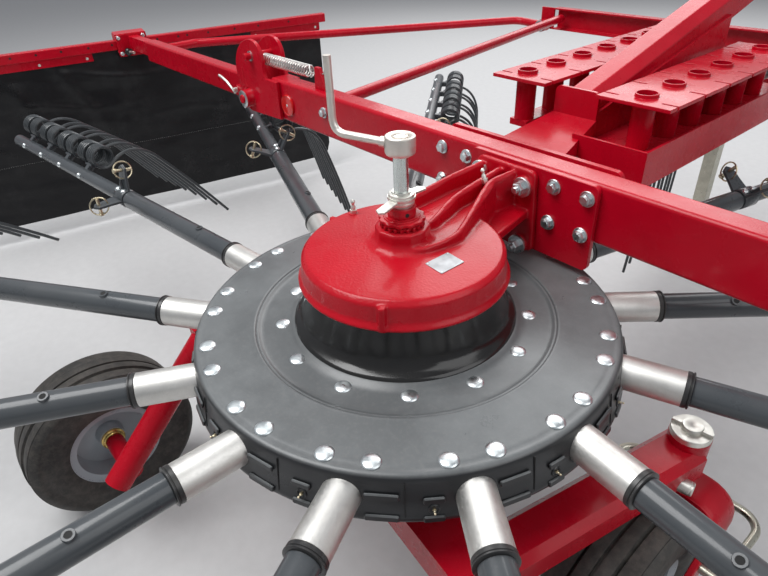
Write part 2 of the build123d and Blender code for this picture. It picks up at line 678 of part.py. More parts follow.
# Anchor and relief spring on the cross beam
with BuildPart() as spring_anchor:
    y = BEAM_Y + BEAM_D / 2
    base = BEAM_Z + BEAM_H
    half = ANCHOR_W / 2
    sheet = [(ANCHOR_X, base), (ANCHOR_X + 6, ANCHOR_TOP), (ANCHOR_X + half, ANCHOR_TOP), (ANCHOR_X + ANCHOR_W, base)]
    front_plate(sheet, y - 6, y + 6)
save(spring_anchor, "spring_anchor")

with BuildPart() as spring:
    y = BEAM_Y + BEAM_D / 2
    rod((SPRING_PIN_X, y, SPRING_Z + 13), (SPRING_PIN_X + 34, y, SPRING_Z), 7)
    rod((SPRING_PIN_X + 30, y, SPRING_Z), (ANCHOR_X + 16, y, SPRING_Z), 7)
    rod((SPRING_PIN_X + 24, y, SPRING_Z), (SPRING_END, y, SPRING_Z), SPRING_R)
    cut_by(spring_anchor, hinge_plates)
save(spring, "spring")

# Folding arm that carries the curtain, a box tube with a tongue at the hinge
with BuildPart() as curtain_arm:
    y0 = BEAM_Y + BEAM_D / 2 - CURTAIN_ARM_D / 2
    y1 = y0 + CURTAIN_ARM_D
    z0 = RAIL_Z - CURTAIN_ARM_H / 2
    z1 = z0 + CURTAIN_ARM_H
    wall = CURTAIN_ARM_WALL
    block(CURTAIN_ARM_END, HINGE_X - 60, y0, y1, z0, z1)
    fillet(curtain_arm.edges().filter_by(Axis.X), 8)
    block(CURTAIN_ARM_END - 1, HINGE_X - 160, y0 + wall, y1 - wall, z0 + wall, z1 - wall, mode=Mode.SUBTRACT)
    tongue = [(HINGE_X - 66, z0 + 4), (HINGE_X - 66, z1 - 4), (HINGE_X + 10, HINGE_Z + 36)]
    tongue += [(HINGE_X + 34, HINGE_Z + 14), (HINGE_X + 34, HINGE_Z - 14), (HINGE_X + 10, HINGE_Z - 34)]
    front_plate(tongue, y0 + 4, y1 - 4)
    rod((HINGE_X, y0 - 30, HINGE_Z), (HINGE_X, y1 + 30, HINGE_Z), PIN_R + PIN_GAP, mode=Mode.SUBTRACT)
save(curtain_arm, "curtain_arm")

# Guard tubes on the frame
with BuildPart() as guard_tubes:
    for s in (-1, 1):
        near = (FRAME_X + s * (BEAM_HALF - 272), BEAM_Y + BEAM_D, BEAM_Z + 90)
        far = (FRAME_X + s * (FRONT_HALF - 109), FRONT_Y, FRONT_Z + 50)
        rod(near, far, GUARD_R)
    cut_by(cross_beam, front_member)
save(guard_tubes, "guard_tubes")

# Outer guard tube, folding with the curtain arm about the same line
with BuildPart() as fold_guard:
    eye_y0, eye_y1 = FRONT_Y - 44, FRONT_Y - 6
    rod((HINGE_X, eye_y0, HINGE_Z), (HINGE_X, eye_y1, HINGE_Z), FOLD_PIN_R + 14)
    y = (eye_y0 + eye_y1) / 2
    bent_bar(
        [
            (CURTAIN_ARM_END + 62, BEAM_Y + BEAM_D / 2 + CURTAIN_ARM_D / 2 - 4, RAIL_Z + 10),
            (CURTAIN_ARM_END + 62, BEAM_Y + 200, RAIL_Z + 10),
            (HINGE_X - 150, y, HINGE_Z + 6),
            (HINGE_X - 12, y, HINGE_Z),
        ],
        GUARD_R,
        60,
    )
    rod((HINGE_X, eye_y0 - 30, HINGE_Z), (HINGE_X, eye_y1 + 30, HINGE_Z), FOLD_PIN_R + PIN_GAP, mode=Mode.SUBTRACT)
    cut_by(curtain_arm)
save(fold_guard, "fold_guard")


def rail_point(t, z):
    """Point on the curtain rail, from its rear end at 0 to its front end at 1."""
    x = RAIL_REAR[0] + (RAIL_FRONT[0] - RAIL_REAR[0]) * t
    y = RAIL_REAR[1] + (RAIL_FRONT[1] - RAIL_REAR[1]) * t
    return (x, y, z)


# Rail of the curtain, a square tube with its clamp and the bar that slides in the arm
with BuildPart() as curtain_rail:
    line = Vector(*rail_point(1, RAIL_Z)) - Vector(*rail_point(0, RAIL_Z))
    with BuildSketch(Plane(origin=rail_point(0, RAIL_Z), x_dir=(0, 0, 1), z_dir=line)) as section:
        RectangleRounded(RAIL_W, RAIL_W, RAIL_ROUND)
        Rectangle(RAIL_W - 2 * RAIL_WALL, RAIL_W - 2 * RAIL_WALL, mode=Mode.SUBTRACT)
    extrude(section.sketch, amount=line.length)
    middle = BEAM_Y + BEAM_D / 2
    part_y = CURTAIN_ARM_D / 2 - CURTAIN_ARM_WALL - SLIDE_GAP
    part_z = CURTAIN_ARM_H / 2 - CURTAIN_ARM_WALL - SLIDE_GAP
    meet = (middle - RAIL_REAR[1]) / (RAIL_FRONT[1] - RAIL_REAR[1])
    outer = rail_point(meet, RAIL_Z)[0]
    block(CURTAIN_ARM_END + 2, HINGE_X - 450, middle - part_y, middle + part_y, RAIL_Z - part_z, RAIL_Z + part_z)
    block(outer, CURTAIN_ARM_END + 2, middle - part_y, middle + part_y, RAIL_Z - RAIL_W / 2, RAIL_Z + part_z)
    block(
        outer - CLAMP_HALF_X,
        outer + CLAMP_HALF_X,
        middle - CLAMP_HALF_Y,
        middle + CLAMP_HALF_Y,
        RAIL_Z - RAIL_W / 2,
        RAIL_Z + CLAMP_RISE,
    )
save(curtain_rail, "curtain_rail")

# Curtain, one flat sheet hung from the rail
with BuildPart() as curtain:
    rear = Vector(*rail_point(0.02, 0))
    front = Vector(*rail_point(0.985, 0))
    along = (front - rear).normalized()
    length = (front - rear).length
    plane = Plane(origin=rear, x_dir=along, z_dir=along.cross(Vector(0, 0, 1)))
    low, high = CURTAIN_BOTTOM, RAIL_Z - RAIL_W / 2 - 0.3
    with BuildSketch(plane):
        with BuildLine():
            Polyline(
                (0, high),
                (0, low + 230),
                (30, low + 110),
                (95, low + 32),
                (190, low),
                (length - 60, low),
                (length - 16, low + 18),
                (length, low + 70),
                (length, high),
                close=True,
            )
        make_face()
    extrude(amount=CURTAIN_T / 2, both=True)
save(curtain, "curtain")

# Chassis under the column: cross axle, side arms and rear drop tubes
with BuildPart() as chassis:
    block(-95, 95, -95, 95, CHASSIS_TOP - 150, CHASSIS_TOP - 90)
    for s in (-1, 1):
        bar((s * 60, -140, CHASSIS_TOP - 118), (s * 372, -180, SIDE_ARM_Z + 6), 110, 66, side=(0, 1, 0))
        start_x, start_y = SIDE_START
        run = (s * (KING_X - start_x), KING_Y - start_y, 0)
        side = Plane(origin=(s * start_x, start_y, SIDE_ARM_Z), x_dir=(1, 0, 0), z_dir=run)
        with BuildSketch(side) as section:
            Rectangle(SIDE_ARM_W, SIDE_ARM_H)
            chamfer(section.vertices(), 14)
        extrude(amount=math.hypot(KING_X - start_x, KING_Y - start_y))
        rod((s * KING_X, KING_Y, SIDE_ARM_Z - 36), (s * KING_X, KING_Y, SIDE_ARM_Z + 50), 36)
        rod((s * KING_X, KING_Y, SIDE_ARM_Z - 46), (s * KING_X, KING_Y, SIDE_ARM_Z + 60), 20.05, mode=Mode.SUBTRACT)
    for s in (-1, 1):
        rod((s * 440, -520, AXLE_Z + 4), (s * 480, -215, 470), 30)
        rod((s * 455, REAR_Y, AXLE_Z), (s * (REAR_X - 50), REAR_Y, AXLE_Z), 22)
        rod((s * (REAR_X - 50), REAR_Y, AXLE_Z), (s * (REAR_X + 34), REAR_Y, AXLE_Z), AXLE_R)
        bar((s * 372, -215, SIDE_ARM_Z), (s * 500, -215, SIDE_ARM_Z), 60, 60, side=(0, 1, 0))
save(chassis, "chassis")


def wheel(name, x, y):
    """Tyre and rim of one wheel with its axle along X."""
    with BuildPart() as tyre:
        with BuildSketch(Plane(origin=(x, y, AXLE_Z), x_dir=(1, 0, 0), z_dir=(0, -1, 0))):
            with BuildLine():
                Polyline(
                    (-62, RIM_R - 14),
                    (-TYRE_W / 2, RIM_R + 18),
                    (-TYRE_W / 2, WHEEL_R - 30),
                    (-58, WHEEL_R - 6),
                    (-30, WHEEL_R),
                    (30, WHEEL_R),
                    (58, WHEEL_R - 6),
                    (TYRE_W / 2, WHEEL_R - 30),
                    (TYRE_W / 2, RIM_R + 18),
                    (62, RIM_R - 14),
                    close=True,
                )
            make_face()
        revolve(axis=Axis((x, y, AXLE_Z), (1, 0, 0)))
    save(tyre, f"tyre_{name}")
    with BuildPart() as rim:
        with BuildSketch(Plane(origin=(x, y, AXLE_Z), x_dir=(1, 0, 0), z_dir=(0, -1, 0))):
            with BuildLine():
                Polyline(
                    (-34, AXLE_R + PIN_GAP),
                    (34, AXLE_R + PIN_GAP),
                    (34, 32),
                    (8, 40),
                    (8, RIM_R - 24),
                    (62, RIM_R - 20),
                    (62, RIM_R - 14),
                    (-62, RIM_R - 14),
                    (-62, RIM_R - 20),
                    (-4, RIM_R - 24),
                    (-4, 40),
                    (-34, 32),
                    close=True,
                )
            make_face()
        revolve(axis=Axis((x, y, AXLE_Z), (1, 0, 0)))
    save(rim, f"rim_{name}")


wheel("rear_left", -REAR_X, REAR_Y)
wheel("rear_right", REAR_X, REAR_Y)


def castor(name, x, y):
    """Fork and crop guard of one front castor; the wheel trails the kingpin."""
    axle_y = y - TRAIL
    with BuildPart() as fork:
        rod((x, y, 378), (x, y, SIDE_ARM_Z + 62), 20)
        rod((x, y, SIDE_ARM_Z + 50.5), (x, y, SIDE_ARM_Z + 58), 38)
        block(x - 104, x + 104, y - 30, y + 45, 378, 412)
        for s in (-1, 1):
            leg = [(y - 30, 412), (y + 45, 412), (y + 40, 340), (axle_y + 30, AXLE_Z - 28)]
            leg += [(axle_y - 30, AXLE_Z - 28), (axle_y - 30, AXLE_Z + 30)]
            side_plate(leg, x + min(90 * s, 104 * s), x + max(90 * s, 104 * s))
        rod((x - 112, axle_y, AXLE_Z), (x + 112, axle_y, AXLE_Z), AXLE_R)
    save(fork, f"fork_{name}")
    with BuildPart() as hoop:
        side = HOOP_HALF
        bent_bar(
            [
                (x - side + 30, axle_y - 48, HOOP_Z),
                (x - side, axle_y + 20, HOOP_Z),
                (x - side, y + 108, HOOP_Z),
                (x + side, y + 108, HOOP_Z),
                (x + side, axle_y + 20, HOOP_Z),
                (x + side - 30, axle_y - 48, HOOP_Z),
            ],
            HOOP_R,
            40,
        )
        for s in (-1, 1):
            rod((x + s * 104, axle_y + 80, HOOP_Z), (x + s * side, axle_y + 80, HOOP_Z), 9)
    save(hoop, f"hoop_{name}")


castor("front_left", -KING_X, KING_Y)
castor("front_right", KING_X, KING_Y)
wheel("front_left", -KING_X, KING_Y - TRAIL)
wheel("front_right", KING_X, KING_Y - TRAIL)

# Parking stand in its sleeve
with BuildPart() as stand_sleeve:
    x, y = STAND_X, STAND_Y
    half = SLEEVE_W / 2
    block(x - half, x + half, y - half, y + half, LINK_Z - 110, LINK_Z + 60)
    hole = STAND_W / 2 + SLIDE_GAP
    block(x - hole, x + hole, y - hole, y + hole, LINK_Z - 120, LINK_Z + 70, mode=Mode.SUBTRACT)
save(stand_sleeve, "stand_sleeve")

with BuildPart() as stand:
    x, y = STAND_X, STAND_Y
    half = STAND_W / 2
    block(x - half, x + half, y - half, y + half, 10, LINK_Z + 130)
    with Locations((x, y, 5)):
        Cylinder(80, 10)
save(stand, "stand")

# Shift that puts the ground point under the machine's middle at the origin
whole = Compound(children=list(PIECES)).bounding_box()
SHIFT = (-(whole.min.X + whole.max.X) / 2, -(whole.min.Y + whole.max.Y) / 2, 0.0)

if __name__ == "__main__":
    for piece in PIECES:
        piece.parent = None
        moved = Location(SHIFT) * piece
        moved.label = piece.label
        export_step(moved, f"parts/{piece.label}.step")
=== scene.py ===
"""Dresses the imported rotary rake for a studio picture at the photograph's angle."""

from __future__ import annotations

import logging
import math
from dataclasses import dataclass
from enum import Enum
from functools import cache

import bmesh
import bpy
from mathutils import Matrix, Vector

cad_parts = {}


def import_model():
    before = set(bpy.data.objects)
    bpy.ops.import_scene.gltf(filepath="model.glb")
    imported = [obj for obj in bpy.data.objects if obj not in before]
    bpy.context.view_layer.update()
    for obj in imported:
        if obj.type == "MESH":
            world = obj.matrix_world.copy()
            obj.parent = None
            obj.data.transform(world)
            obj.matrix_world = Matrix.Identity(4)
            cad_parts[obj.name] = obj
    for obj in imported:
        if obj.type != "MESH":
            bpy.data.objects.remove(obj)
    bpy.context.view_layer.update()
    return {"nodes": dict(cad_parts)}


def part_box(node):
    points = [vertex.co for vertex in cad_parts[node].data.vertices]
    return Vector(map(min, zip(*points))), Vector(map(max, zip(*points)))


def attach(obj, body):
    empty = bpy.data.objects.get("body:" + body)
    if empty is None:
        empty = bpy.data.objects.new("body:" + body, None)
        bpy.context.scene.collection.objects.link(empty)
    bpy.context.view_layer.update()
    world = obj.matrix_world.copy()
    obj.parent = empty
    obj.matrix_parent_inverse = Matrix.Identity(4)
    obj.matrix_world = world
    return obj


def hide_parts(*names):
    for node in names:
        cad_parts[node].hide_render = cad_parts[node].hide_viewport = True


LOG = logging.getLogger("rake")
Point = tuple[float, float, float]
Colour = tuple[float, float, float]
Pair = tuple[float, float]
Outline = list[Pair]
Obj = bpy.types.Object
Socket = bpy.types.NodeSocket


class Body(Enum):
    """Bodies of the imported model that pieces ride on."""

    FRAME = "frame"
    ROTOR = "rotor"
    ARM = "curtain_arm"
    RAIL = "curtain_frame"
    STAND = "stand"
    CASTOR_LEFT = "castor_front_left"
    CASTOR_RIGHT = "castor_front_right"
    WHEEL_REAR_LEFT = "wheel_rear_left"
    WHEEL_REAR_RIGHT = "wheel_rear_right"
    WHEEL_FRONT_LEFT = "wheel_front_left"
    WHEEL_FRONT_RIGHT = "wheel_front_right"


# Shader graphs


class Graph:
    """Small helper that adds and links shader nodes of one material."""

    def __init__(self, name: str) -> None:
        """Starts an empty material.

        Args:
            name: Name of the material.
        """
        self.material = bpy.data.materials.new(name)
        self.material.use_nodes = True
        self.tree = self.material.node_tree
        self.tree.nodes.clear()
        self.output = self.add("ShaderNodeOutputMaterial")
        self.shader = self.add("ShaderNodeBsdfPrincipled")
        self.link(self.shader.outputs[0], self.output.inputs["Surface"])
        self.coords = self.add("ShaderNodeTexCoord").outputs["Object"]

    def add(self, kind: str, **settings: object) -> bpy.types.Node:
        """Adds a node.

        Args:
            kind: Blender's name of the node type.
            **settings: Attributes to set on the node.

        Returns:
            The new node.
        """
        node = self.tree.nodes.new(kind)
        for key, value in settings.items():
            setattr(node, key, value)
        return node

    def link(self, source: Socket, target: Socket) -> None:
        """Joins two sockets."""
        self.tree.links.new(source, target)

    def feed(self, value: object, target: Socket) -> None:
        """Leads a socket into another one, or sets a plain value on it."""
        if isinstance(value, Socket):
            self.link(value, target)
        else:
            target.default_value = value

    def scaled(self, scale: Point) -> Socket:
        """Object coordinates with a scale for each axis.

        Args:
            scale: Factor on X, Y and Z.

        Returns:
            The vector socket.
        """
        mapping = self.add("ShaderNodeMapping")
        mapping.inputs["Scale"].default_value = scale
        self.link(self.coords, mapping.inputs["Vector"])
        return mapping.outputs["Vector"]

    def noise(
        self, scale: float, detail: float = 3.0, rough: float = 0.5, vector: Socket | None = None
    ) -> Socket:
        """Noise value.

        Args:
            scale: Grains per metre.
            detail: Octaves.
            rough: Weight of the finer octaves.
            vector: Coordinates, or None for plain object coordinates.

        Returns:
            The value socket, around 0.5.
        """
        node = self.add("ShaderNodeTexNoise")
        node.inputs["Scale"].default_value = scale
        node.inputs["Detail"].default_value = detail
        node.inputs["Roughness"].default_value = rough
        self.link(vector or self.coords, node.inputs["Vector"])
        return node.outputs["Fac"]

    def ramp(self, value: Socket, low: float, high: float, out: Pair = (0.0, 1.0)) -> Socket:
        """Maps a span of a value to another span, clamped.

        Args:
            value: Value to map.
            low: Start of the span.
            high: End of the span.
            out: Results at the start and the end.

        Returns:
            The mapped value.
        """
        node = self.add("ShaderNodeMapRange")
        for label, number in zip(("From Min", "From Max", "To Min", "To Max"), (low, high, *out)):
            node.inputs[label].default_value = number
        self.link(value, node.inputs["Value"])
        return node.outputs["Result"]

    def mix(self, factor: Socket, first: object, second: object) -> Socket:
        """Mixes two colours.

        Args:
            factor: How much of the second colour shows.
            first: Colour or socket.
            second: Colour or socket.

        Returns:
            The colour socket.
        """
        node = self.add("ShaderNodeMix", data_type="RGBA")
        self.link(factor, node.inputs["Factor"])
        for value, socket in ((first, node.inputs[6]), (second, node.inputs[7])):
            self.feed(value if isinstance(value, Socket) else (*value, 1.0), socket)
        return node.outputs[2]

    def math(self, kind: str, first: Socket, second: object) -> Socket:
        """Works out one number from two.

        Args:
            kind: Blender's name of the operation.
            first: First value.
            second: Second value, a socket or a number.

        Returns:
            The result.
        """
        node = self.add("ShaderNodeMath", operation=kind)
        self.link(first, node.inputs[0])
        self.feed(second, node.inputs[1])
        return node.outputs[0]

    def facing_up(self) -> Socket:
        """How far a surface faces up, as the Z part of its normal."""
        geometry = self.add("ShaderNodeNewGeometry")
        split = self.add("ShaderNodeSeparateXYZ")
        self.link(geometry.outputs["Normal"], split.inputs[0])
        return split.outputs["Z"]

    def bump(self, height: Socket, distance: float, strength: float = 1.0) -> None:
        """Puts a height on the shader's normal, on top of what is there.

        Args:
            height: Height value.
            distance: Height of 1 in metres.
            strength: How strongly it shows.
        """
        node = self.add("ShaderNodeBump")
        node.inputs["Distance"].default_value = distance
        node.inputs["Strength"].default_value = strength
        self.link(height, node.inputs["Height"])
        normal = self.shader.inputs["Normal"]
        if normal.is_linked:
            self.link(normal.links[0].from_socket, node.inputs["Normal"])
        self.link(node.outputs["Normal"], normal)

    def coat(self, tone: Socket, rough: Socket) -> None:
        """Sets the shader's colour and roughness."""
        self.link(tone, self.shader.inputs["Base Color"])
        self.link(rough, self.shader.inputs["Roughness"])

    def set(self, **values: float) -> None:
        """Sets plain numbers on the shader, with spaces in names as underscores."""
        for key, value in values.items():
            self.shader.inputs[key.replace("_", " ")].default_value = value


# Finishes


@dataclass(frozen=True)
class Paint:
    """Sprayed paint with orange peel, flow marks and dust on what faces up."""

    name: str
    colour: Colour
    shade: Colour
    gloss: float = 0.3
    coat: float = 0.5
    peel: float = 0.00025
    peel_scale: float = 260.0
    dust: float = 0.08

    def build(self) -> bpy.types.Material:
        """Makes the material.

        Returns:
            The painted finish.
        """
        g = Graph(self.name)
        tone = g.mix(g.ramp(g.noise(3.5, 4.0, 0.6), 0.35, 0.68), self.colour, self.shade)
        specks = g.ramp(g.noise(95.0, 6.0, 0.7), 0.6, 0.74)
        film = g.ramp(g.noise(5.0, 5.0, 0.65), 0.42, 0.8)
        up = g.ramp(g.facing_up(), 0.25, 0.95, (0.0, self.dust))
        dust = g.math("MULTIPLY", up, g.math("ADD", g.math("MULTIPLY", specks, 0.7), film))
        rough = g.ramp(g.noise(18.0, 5.0, 0.6), 0.3, 0.75, (self.gloss - 0.06, self.gloss + 0.1))
        g.coat(g.mix(dust, tone, (0.42, 0.38, 0.34)), g.math("ADD", rough, dust))
        g.bump(g.noise(self.peel_scale, 2.0, 0.4), self.peel, 0.5)
        g.bump(g.noise(22.0, 2.0, 0.5), 0.0008, 0.25)
        g.set(Coat_Weight=self.coat, Coat_Roughness=0.12, Specular_IOR_Level=0.2)
        return g.material


@dataclass(frozen=True)
class Moulding:
    """Moulded or coated dark surface with smears and fine grain, and a painted reflection of the sky on what
    faces up where one is given.
    """

    name: str
    colour: Colour
    rub: Colour
    rough: float = 0.42
    grain: float = 0.00012
    dust: float = 0.1
    painted_sky_reflection: Colour | None = None

    def build(self) -> bpy.types.Material:
        """Makes the material.

        Returns:
            The dark finish.
        """
        g = Graph(self.name)
        smear = g.ramp(g.noise(6.0, 5.0, 0.65, g.scaled((1.0, 1.0, 2.5))), 0.4, 0.72)
        tone = g.mix(smear, self.colour, self.rub)
        if self.painted_sky_reflection:
            # Painted reflection of the sky on what faces up, uneven with the smears
            upper, uneven = g.ramp(g.facing_up(), 0.55, 0.98), g.ramp(smear, 0.0, 1.0, (0.62, 1.0))
            tone = g.mix(g.math("MULTIPLY", upper, uneven), tone, self.painted_sky_reflection)
        up = g.ramp(g.facing_up(), 0.4, 1.0, (0.0, self.dust))
        dust = g.math("MULTIPLY", up, g.ramp(g.noise(140.0, 5.0, 0.7), 0.5, 0.75))
        base = g.ramp(g.noise(9.0, 6.0, 0.6), 0.3, 0.7, (self.rough - 0.07, self.rough + 0.1))
        g.coat(g.mix(dust, tone, (0.34, 0.32, 0.29)), g.math("ADD", base, dust))
        g.bump(g.noise(520.0, 2.0, 0.5), self.grain, 0.6)
        g.bump(g.noise(12.0, 2.0, 0.5), 0.0009, 0.2)
        return g.material


@dataclass(frozen=True)
class Metal:
    """Bare or plated metal with spangle, streaks and handling marks."""

    name: str
    colour: Colour
    tint: Colour
    rough: float = 0.32
    streak: Point = (1.0, 1.0, 1.0)
    streak_scale: float = 60.0
    relief: float = 0.0001
    spangle: float = 0.3

    def build(self) -> bpy.types.Material:
        """Makes the material.

        Returns:
            The metal finish.
        """
        g = Graph(self.name)
        cells = g.add("ShaderNodeTexVoronoi")
        cells.inputs["Scale"].default_value = 170.0
        g.link(g.coords, cells.inputs["Vector"])
        spangle = g.ramp(cells.outputs["Distance"], 0.0, 0.8, (0.0, self.spangle))
        cloud = g.ramp(g.noise(24.0, 4.0, 0.6), 0.35, 0.7)
        tone = g.mix(g.math("MULTIPLY", g.math("ADD", spangle, cloud), 0.6), self.colour, self.tint)
        lines = g.noise(self.streak_scale, 3.0, 0.6, g.scaled(self.streak))
        g.coat(tone, g.ramp(lines, 0.3, 0.7, (self.rough - 0.1, self.rough + 0.12)))
        g.bump(lines, self.relief, 0.5)
        g.set(Metallic=1.0)
        return g.material


@dataclass(frozen=True)
class Rubber:
    """Tyre rubber, brownish with patches of dust."""

    name: str
    colour: Colour = (0.022, 0.021, 0.02)
    dust: Colour = (0.13, 0.115, 0.1)

    def build(self) -> bpy.types.Material:
        """Makes the material.

        Returns:
            The rubber finish.
        """
        g = Graph(self.name)
        fine = g.ramp(g.noise(60.0, 6.0, 0.7), 0.42, 0.8, (0.0, 0.55))
        broad = g.ramp(g.noise(7.0, 4.0, 0.6), 0.35, 0.75, (0.0, 0.35))
        rough = g.ramp(g.noise(30.0, 4.0), 0.3, 0.7, (0.62, 0.85))
        g.coat(g.mix(g.math("ADD", fine, broad), self.colour, self.dust), rough)
        g.bump(g.noise(380.0, 3.0, 0.6), 0.0003, 0.6)
        return g.material


@dataclass(frozen=True)
class Tarpaulin:
    """Coated cloth of the curtain with its faint weave and soft shine."""

    name: str
    colour: Colour = (0.0055, 0.0055, 0.0065)
    worn: Colour = (0.014, 0.014, 0.015)

    def build(self) -> bpy.types.Material:
        """Makes the material.

        Returns:
            The cloth finish.
        """
        g = Graph(self.name)
        crease = g.ramp(g.noise(9.0, 6.0, 0.7), 0.5, 0.7)
        rough = g.ramp(g.noise(5.0, 5.0, 0.6), 0.3, 0.7, (0.24, 0.4))
        g.coat(g.mix(crease, self.colour, self.worn), rough)
        weave = []
        for direction in ((0.18, 0.98, 0.0), (0.0, 0.0, 1.0)):
            wave = g.add("ShaderNodeTexWave", wave_type="BANDS", bands_direction="DIAGONAL")
            wave.inputs["Scale"].default_value = 230.0
            wave.inputs["Distortion"].default_value = 0.4
            g.link(g.scaled(direction), wave.inputs["Vector"])
            weave.append(wave.outputs["Fac"])
        g.bump(g.math("MAXIMUM", weave[0], weave[1]), 0.00012, 0.5)
        g.bump(g.noise(3.6, 2.0, 0.4, g.scaled((0.7, 0.7, 1.5))), 0.05, 0.8)
        g.bump(g.noise(14.0, 5.0, 0.6), 0.004, 0.3)
        g.set(Sheen_Weight=0.0, Specular_IOR_Level=0.3)
        return g.material


class Look(Enum):
    """Every finish of the rake."""

    RED = Paint("red_paint", (0.47, 0.002, 0.015), (0.38, 0.0015, 0.011), gloss=0.26, coat=0.12, dust=0.035)
    CAST_RED = Paint(
        "cast_red_paint", (0.45, 0.002, 0.012), (0.37, 0.0015, 0.009), 0.3, 0.2, 0.0011, 240.0, 0.05
    )
    GREY_TUBE = Paint(
        "grey_tube_paint", (0.062, 0.069, 0.075), (0.048, 0.054, 0.06), 0.3, 0.4, 0.0002, 320.0, 0.06
    )
    RIM_GREY = Paint("rim_paint", (0.37, 0.41, 0.44), (0.31, 0.345, 0.375), 0.32, 0.4, 0.0002, 300.0, 0.06)
    TINE = Paint("tine_coating", (0.05, 0.056, 0.06), (0.036, 0.04, 0.044), 0.32, 0.3, 0.0002, 300.0, 0.05)
    # The disc's skin gets a painted sky reflection on what faces up
    DISC = Moulding(
        "disc_skin", (0.013, 0.0135, 0.015), (0.024, 0.025, 0.027), 0.32, painted_sky_reflection=(0.16, 0.17, 0.173)
    )
    NECK = Moulding("neck_rubber", (0.009, 0.009, 0.009), (0.018, 0.017, 0.016), rough=0.16, dust=0.02)
    COLLAR = Moulding("collar_plastic", (0.02, 0.02, 0.021), (0.04, 0.039, 0.037), rough=0.34)
    # Near-black finish that paints the shade inside holes and gaps
    PAINTED_SHADE = Moulding("painted_gap_shade", (0.006, 0.006, 0.006), (0.012, 0.012, 0.012), rough=0.8, dust=0.0)
    ALUMINIUM = Metal(
        "turned_aluminium", (0.74, 0.73, 0.7), (0.58, 0.57, 0.54),
        0.47, (9.0, 9.0, 9.0), 40.0, 0.00002, 0.1,
    )
    ZINC = Metal("zinc_plating", (0.84, 0.87, 0.88), (0.6, 0.66, 0.67), 0.34, spangle=0.75)
    PALE_ZINC = Metal("pale_plating", (0.78, 0.77, 0.72), (0.64, 0.63, 0.58), 0.42, relief=0.00004)
    OLIVE_ZINC = Metal("olive_plating", (0.52, 0.5, 0.42), (0.36, 0.35, 0.29), 0.34)
    YELLOW_ZINC = Metal("yellow_plating", (0.74, 0.66, 0.48), (0.52, 0.45, 0.31), 0.34)
    GOLD = Metal("gold_passivation", (0.85, 0.62, 0.22), (0.6, 0.42, 0.14), 0.28)
    KNOB = Metal(
        "satin_plating", (0.8, 0.76, 0.7), (0.68, 0.62, 0.56), 0.42, (1.0, 1.0, 6.0), 60.0, 0.00003, 0.1
    )
    ROD = Metal(
        "ground_rod", (0.7, 0.74, 0.72), (0.6, 0.65, 0.63), 0.24, (1.0, 1.0, 0.05), 90.0, 0.00001, 0.05
    )
    SPRING = Metal("spring_plating", (0.74, 0.73, 0.7), (0.56, 0.55, 0.53), 0.3, relief=0.00003, spangle=0.1)
    PLATE = Metal("blank_plate", (0.4, 0.41, 0.42), (0.33, 0.34, 0.35), 0.5, relief=0.00002, spangle=0.05)
    TYRE = Rubber("tyre_rubber")
    CLOTH = Tarpaulin("tarpaulin")
    THREAD = Moulding("pale_thread", (0.35, 0.35, 0.34), (0.25, 0.25, 0.25), rough=0.7, dust=0.0)
    REFLEX = Paint("red_reflex", (0.6, 0.01, 0.01), (0.5, 0.01, 0.01), 0.1, 1.0, 0.0, 300.0, 0.0)


@cache
def material_of(look: Look) -> bpy.types.Material:
    """Makes a finish once and gives its material."""
    return look.value.build()


def dress(obj: Obj, look: Look) -> None:
    """Gives an object one finish on all its faces."""
    obj.data.materials.clear()
    obj.data.materials.append(material_of(look))


# Shapes


def shift(x: float, y: float, z: float) -> Matrix:
    """Move by a distance on each axis."""
    return Matrix.Translation((x, y, z))


def spin(degrees: float, axis: str) -> Matrix:
    """Turn about one axis."""
    return Matrix.Rotation(math.radians(degrees), 4, axis)


def disc(radius: float, low: float, high: float) -> Outline:
    """Profile of a plain disc or bar between two heights."""
    return [(0.0, low), (radius, low), (radius, high), (0.0, high)]


def mm(*points: Pair) -> Outline:
    """Outline or profile in metres, from its points in millimetres."""
    return [(first / 1000, second / 1000) for first, second in points]


def mirrored(profile: Outline) -> Outline:
    """The same profile on the other side of the middle plane, so that it goes on from the first."""
    return [(radius, -across) for radius, across in reversed(profile)]


def link_new(name: str, data: bpy.types.ID) -> Obj:
    """Makes an object of a mesh, lamp or camera and links it to the scene."""
    obj = bpy.data.objects.new(name, data)
    bpy.context.scene.collection.objects.link(obj)
    return obj


def turn_to(direction: Vector, roll: float = 0.0) -> Matrix:
    """Turn that points local Z along a direction."""
    return direction.to_track_quat("Z", "Y").to_matrix().to_4x4() @ Matrix.Rotation(roll, 4, "Z")


def circle(radius: float, sides: int) -> Outline:
    """Points of a circle, counterclockwise."""
    angles = [math.tau * n / sides for n in range(sides)]
    return [(radius * math.cos(a), radius * math.sin(a)) for a in angles]


def curve(start: Vector, corner: Vector, end: Vector, steps: int) -> list[Vector]:
    """Points of a bend that starts and ends towards its corner."""
    shares = [n / steps for n in range(steps + 1)]
    return [start * (1 - t) ** 2 + corner * 2 * t * (1 - t) + end * t * t for t in shares]


def rounded(width: float, height: float, radius: float, steps: int = 4) -> Outline:
    """Points of a rectangle with round corners, counterclockwise about its middle.

    Args:
        width: Size on local X.
        height: Size on local Y.
        radius: Corner radius.
        steps: Spans in each corner.

    Returns:
        The outline.
    """
    points = []
    for quarter, (sx, sy) in enumerate(((1, 1), (-1, 1), (-1, -1), (1, -1))):
        cx, cy = sx * (width / 2 - radius), sy * (height / 2 - radius)
        for n in range(steps + 1):
            angle = math.pi / 2 * (quarter + n / steps)
            points.append((cx + radius * math.cos(angle), cy + radius * math.sin(angle)))
    return points


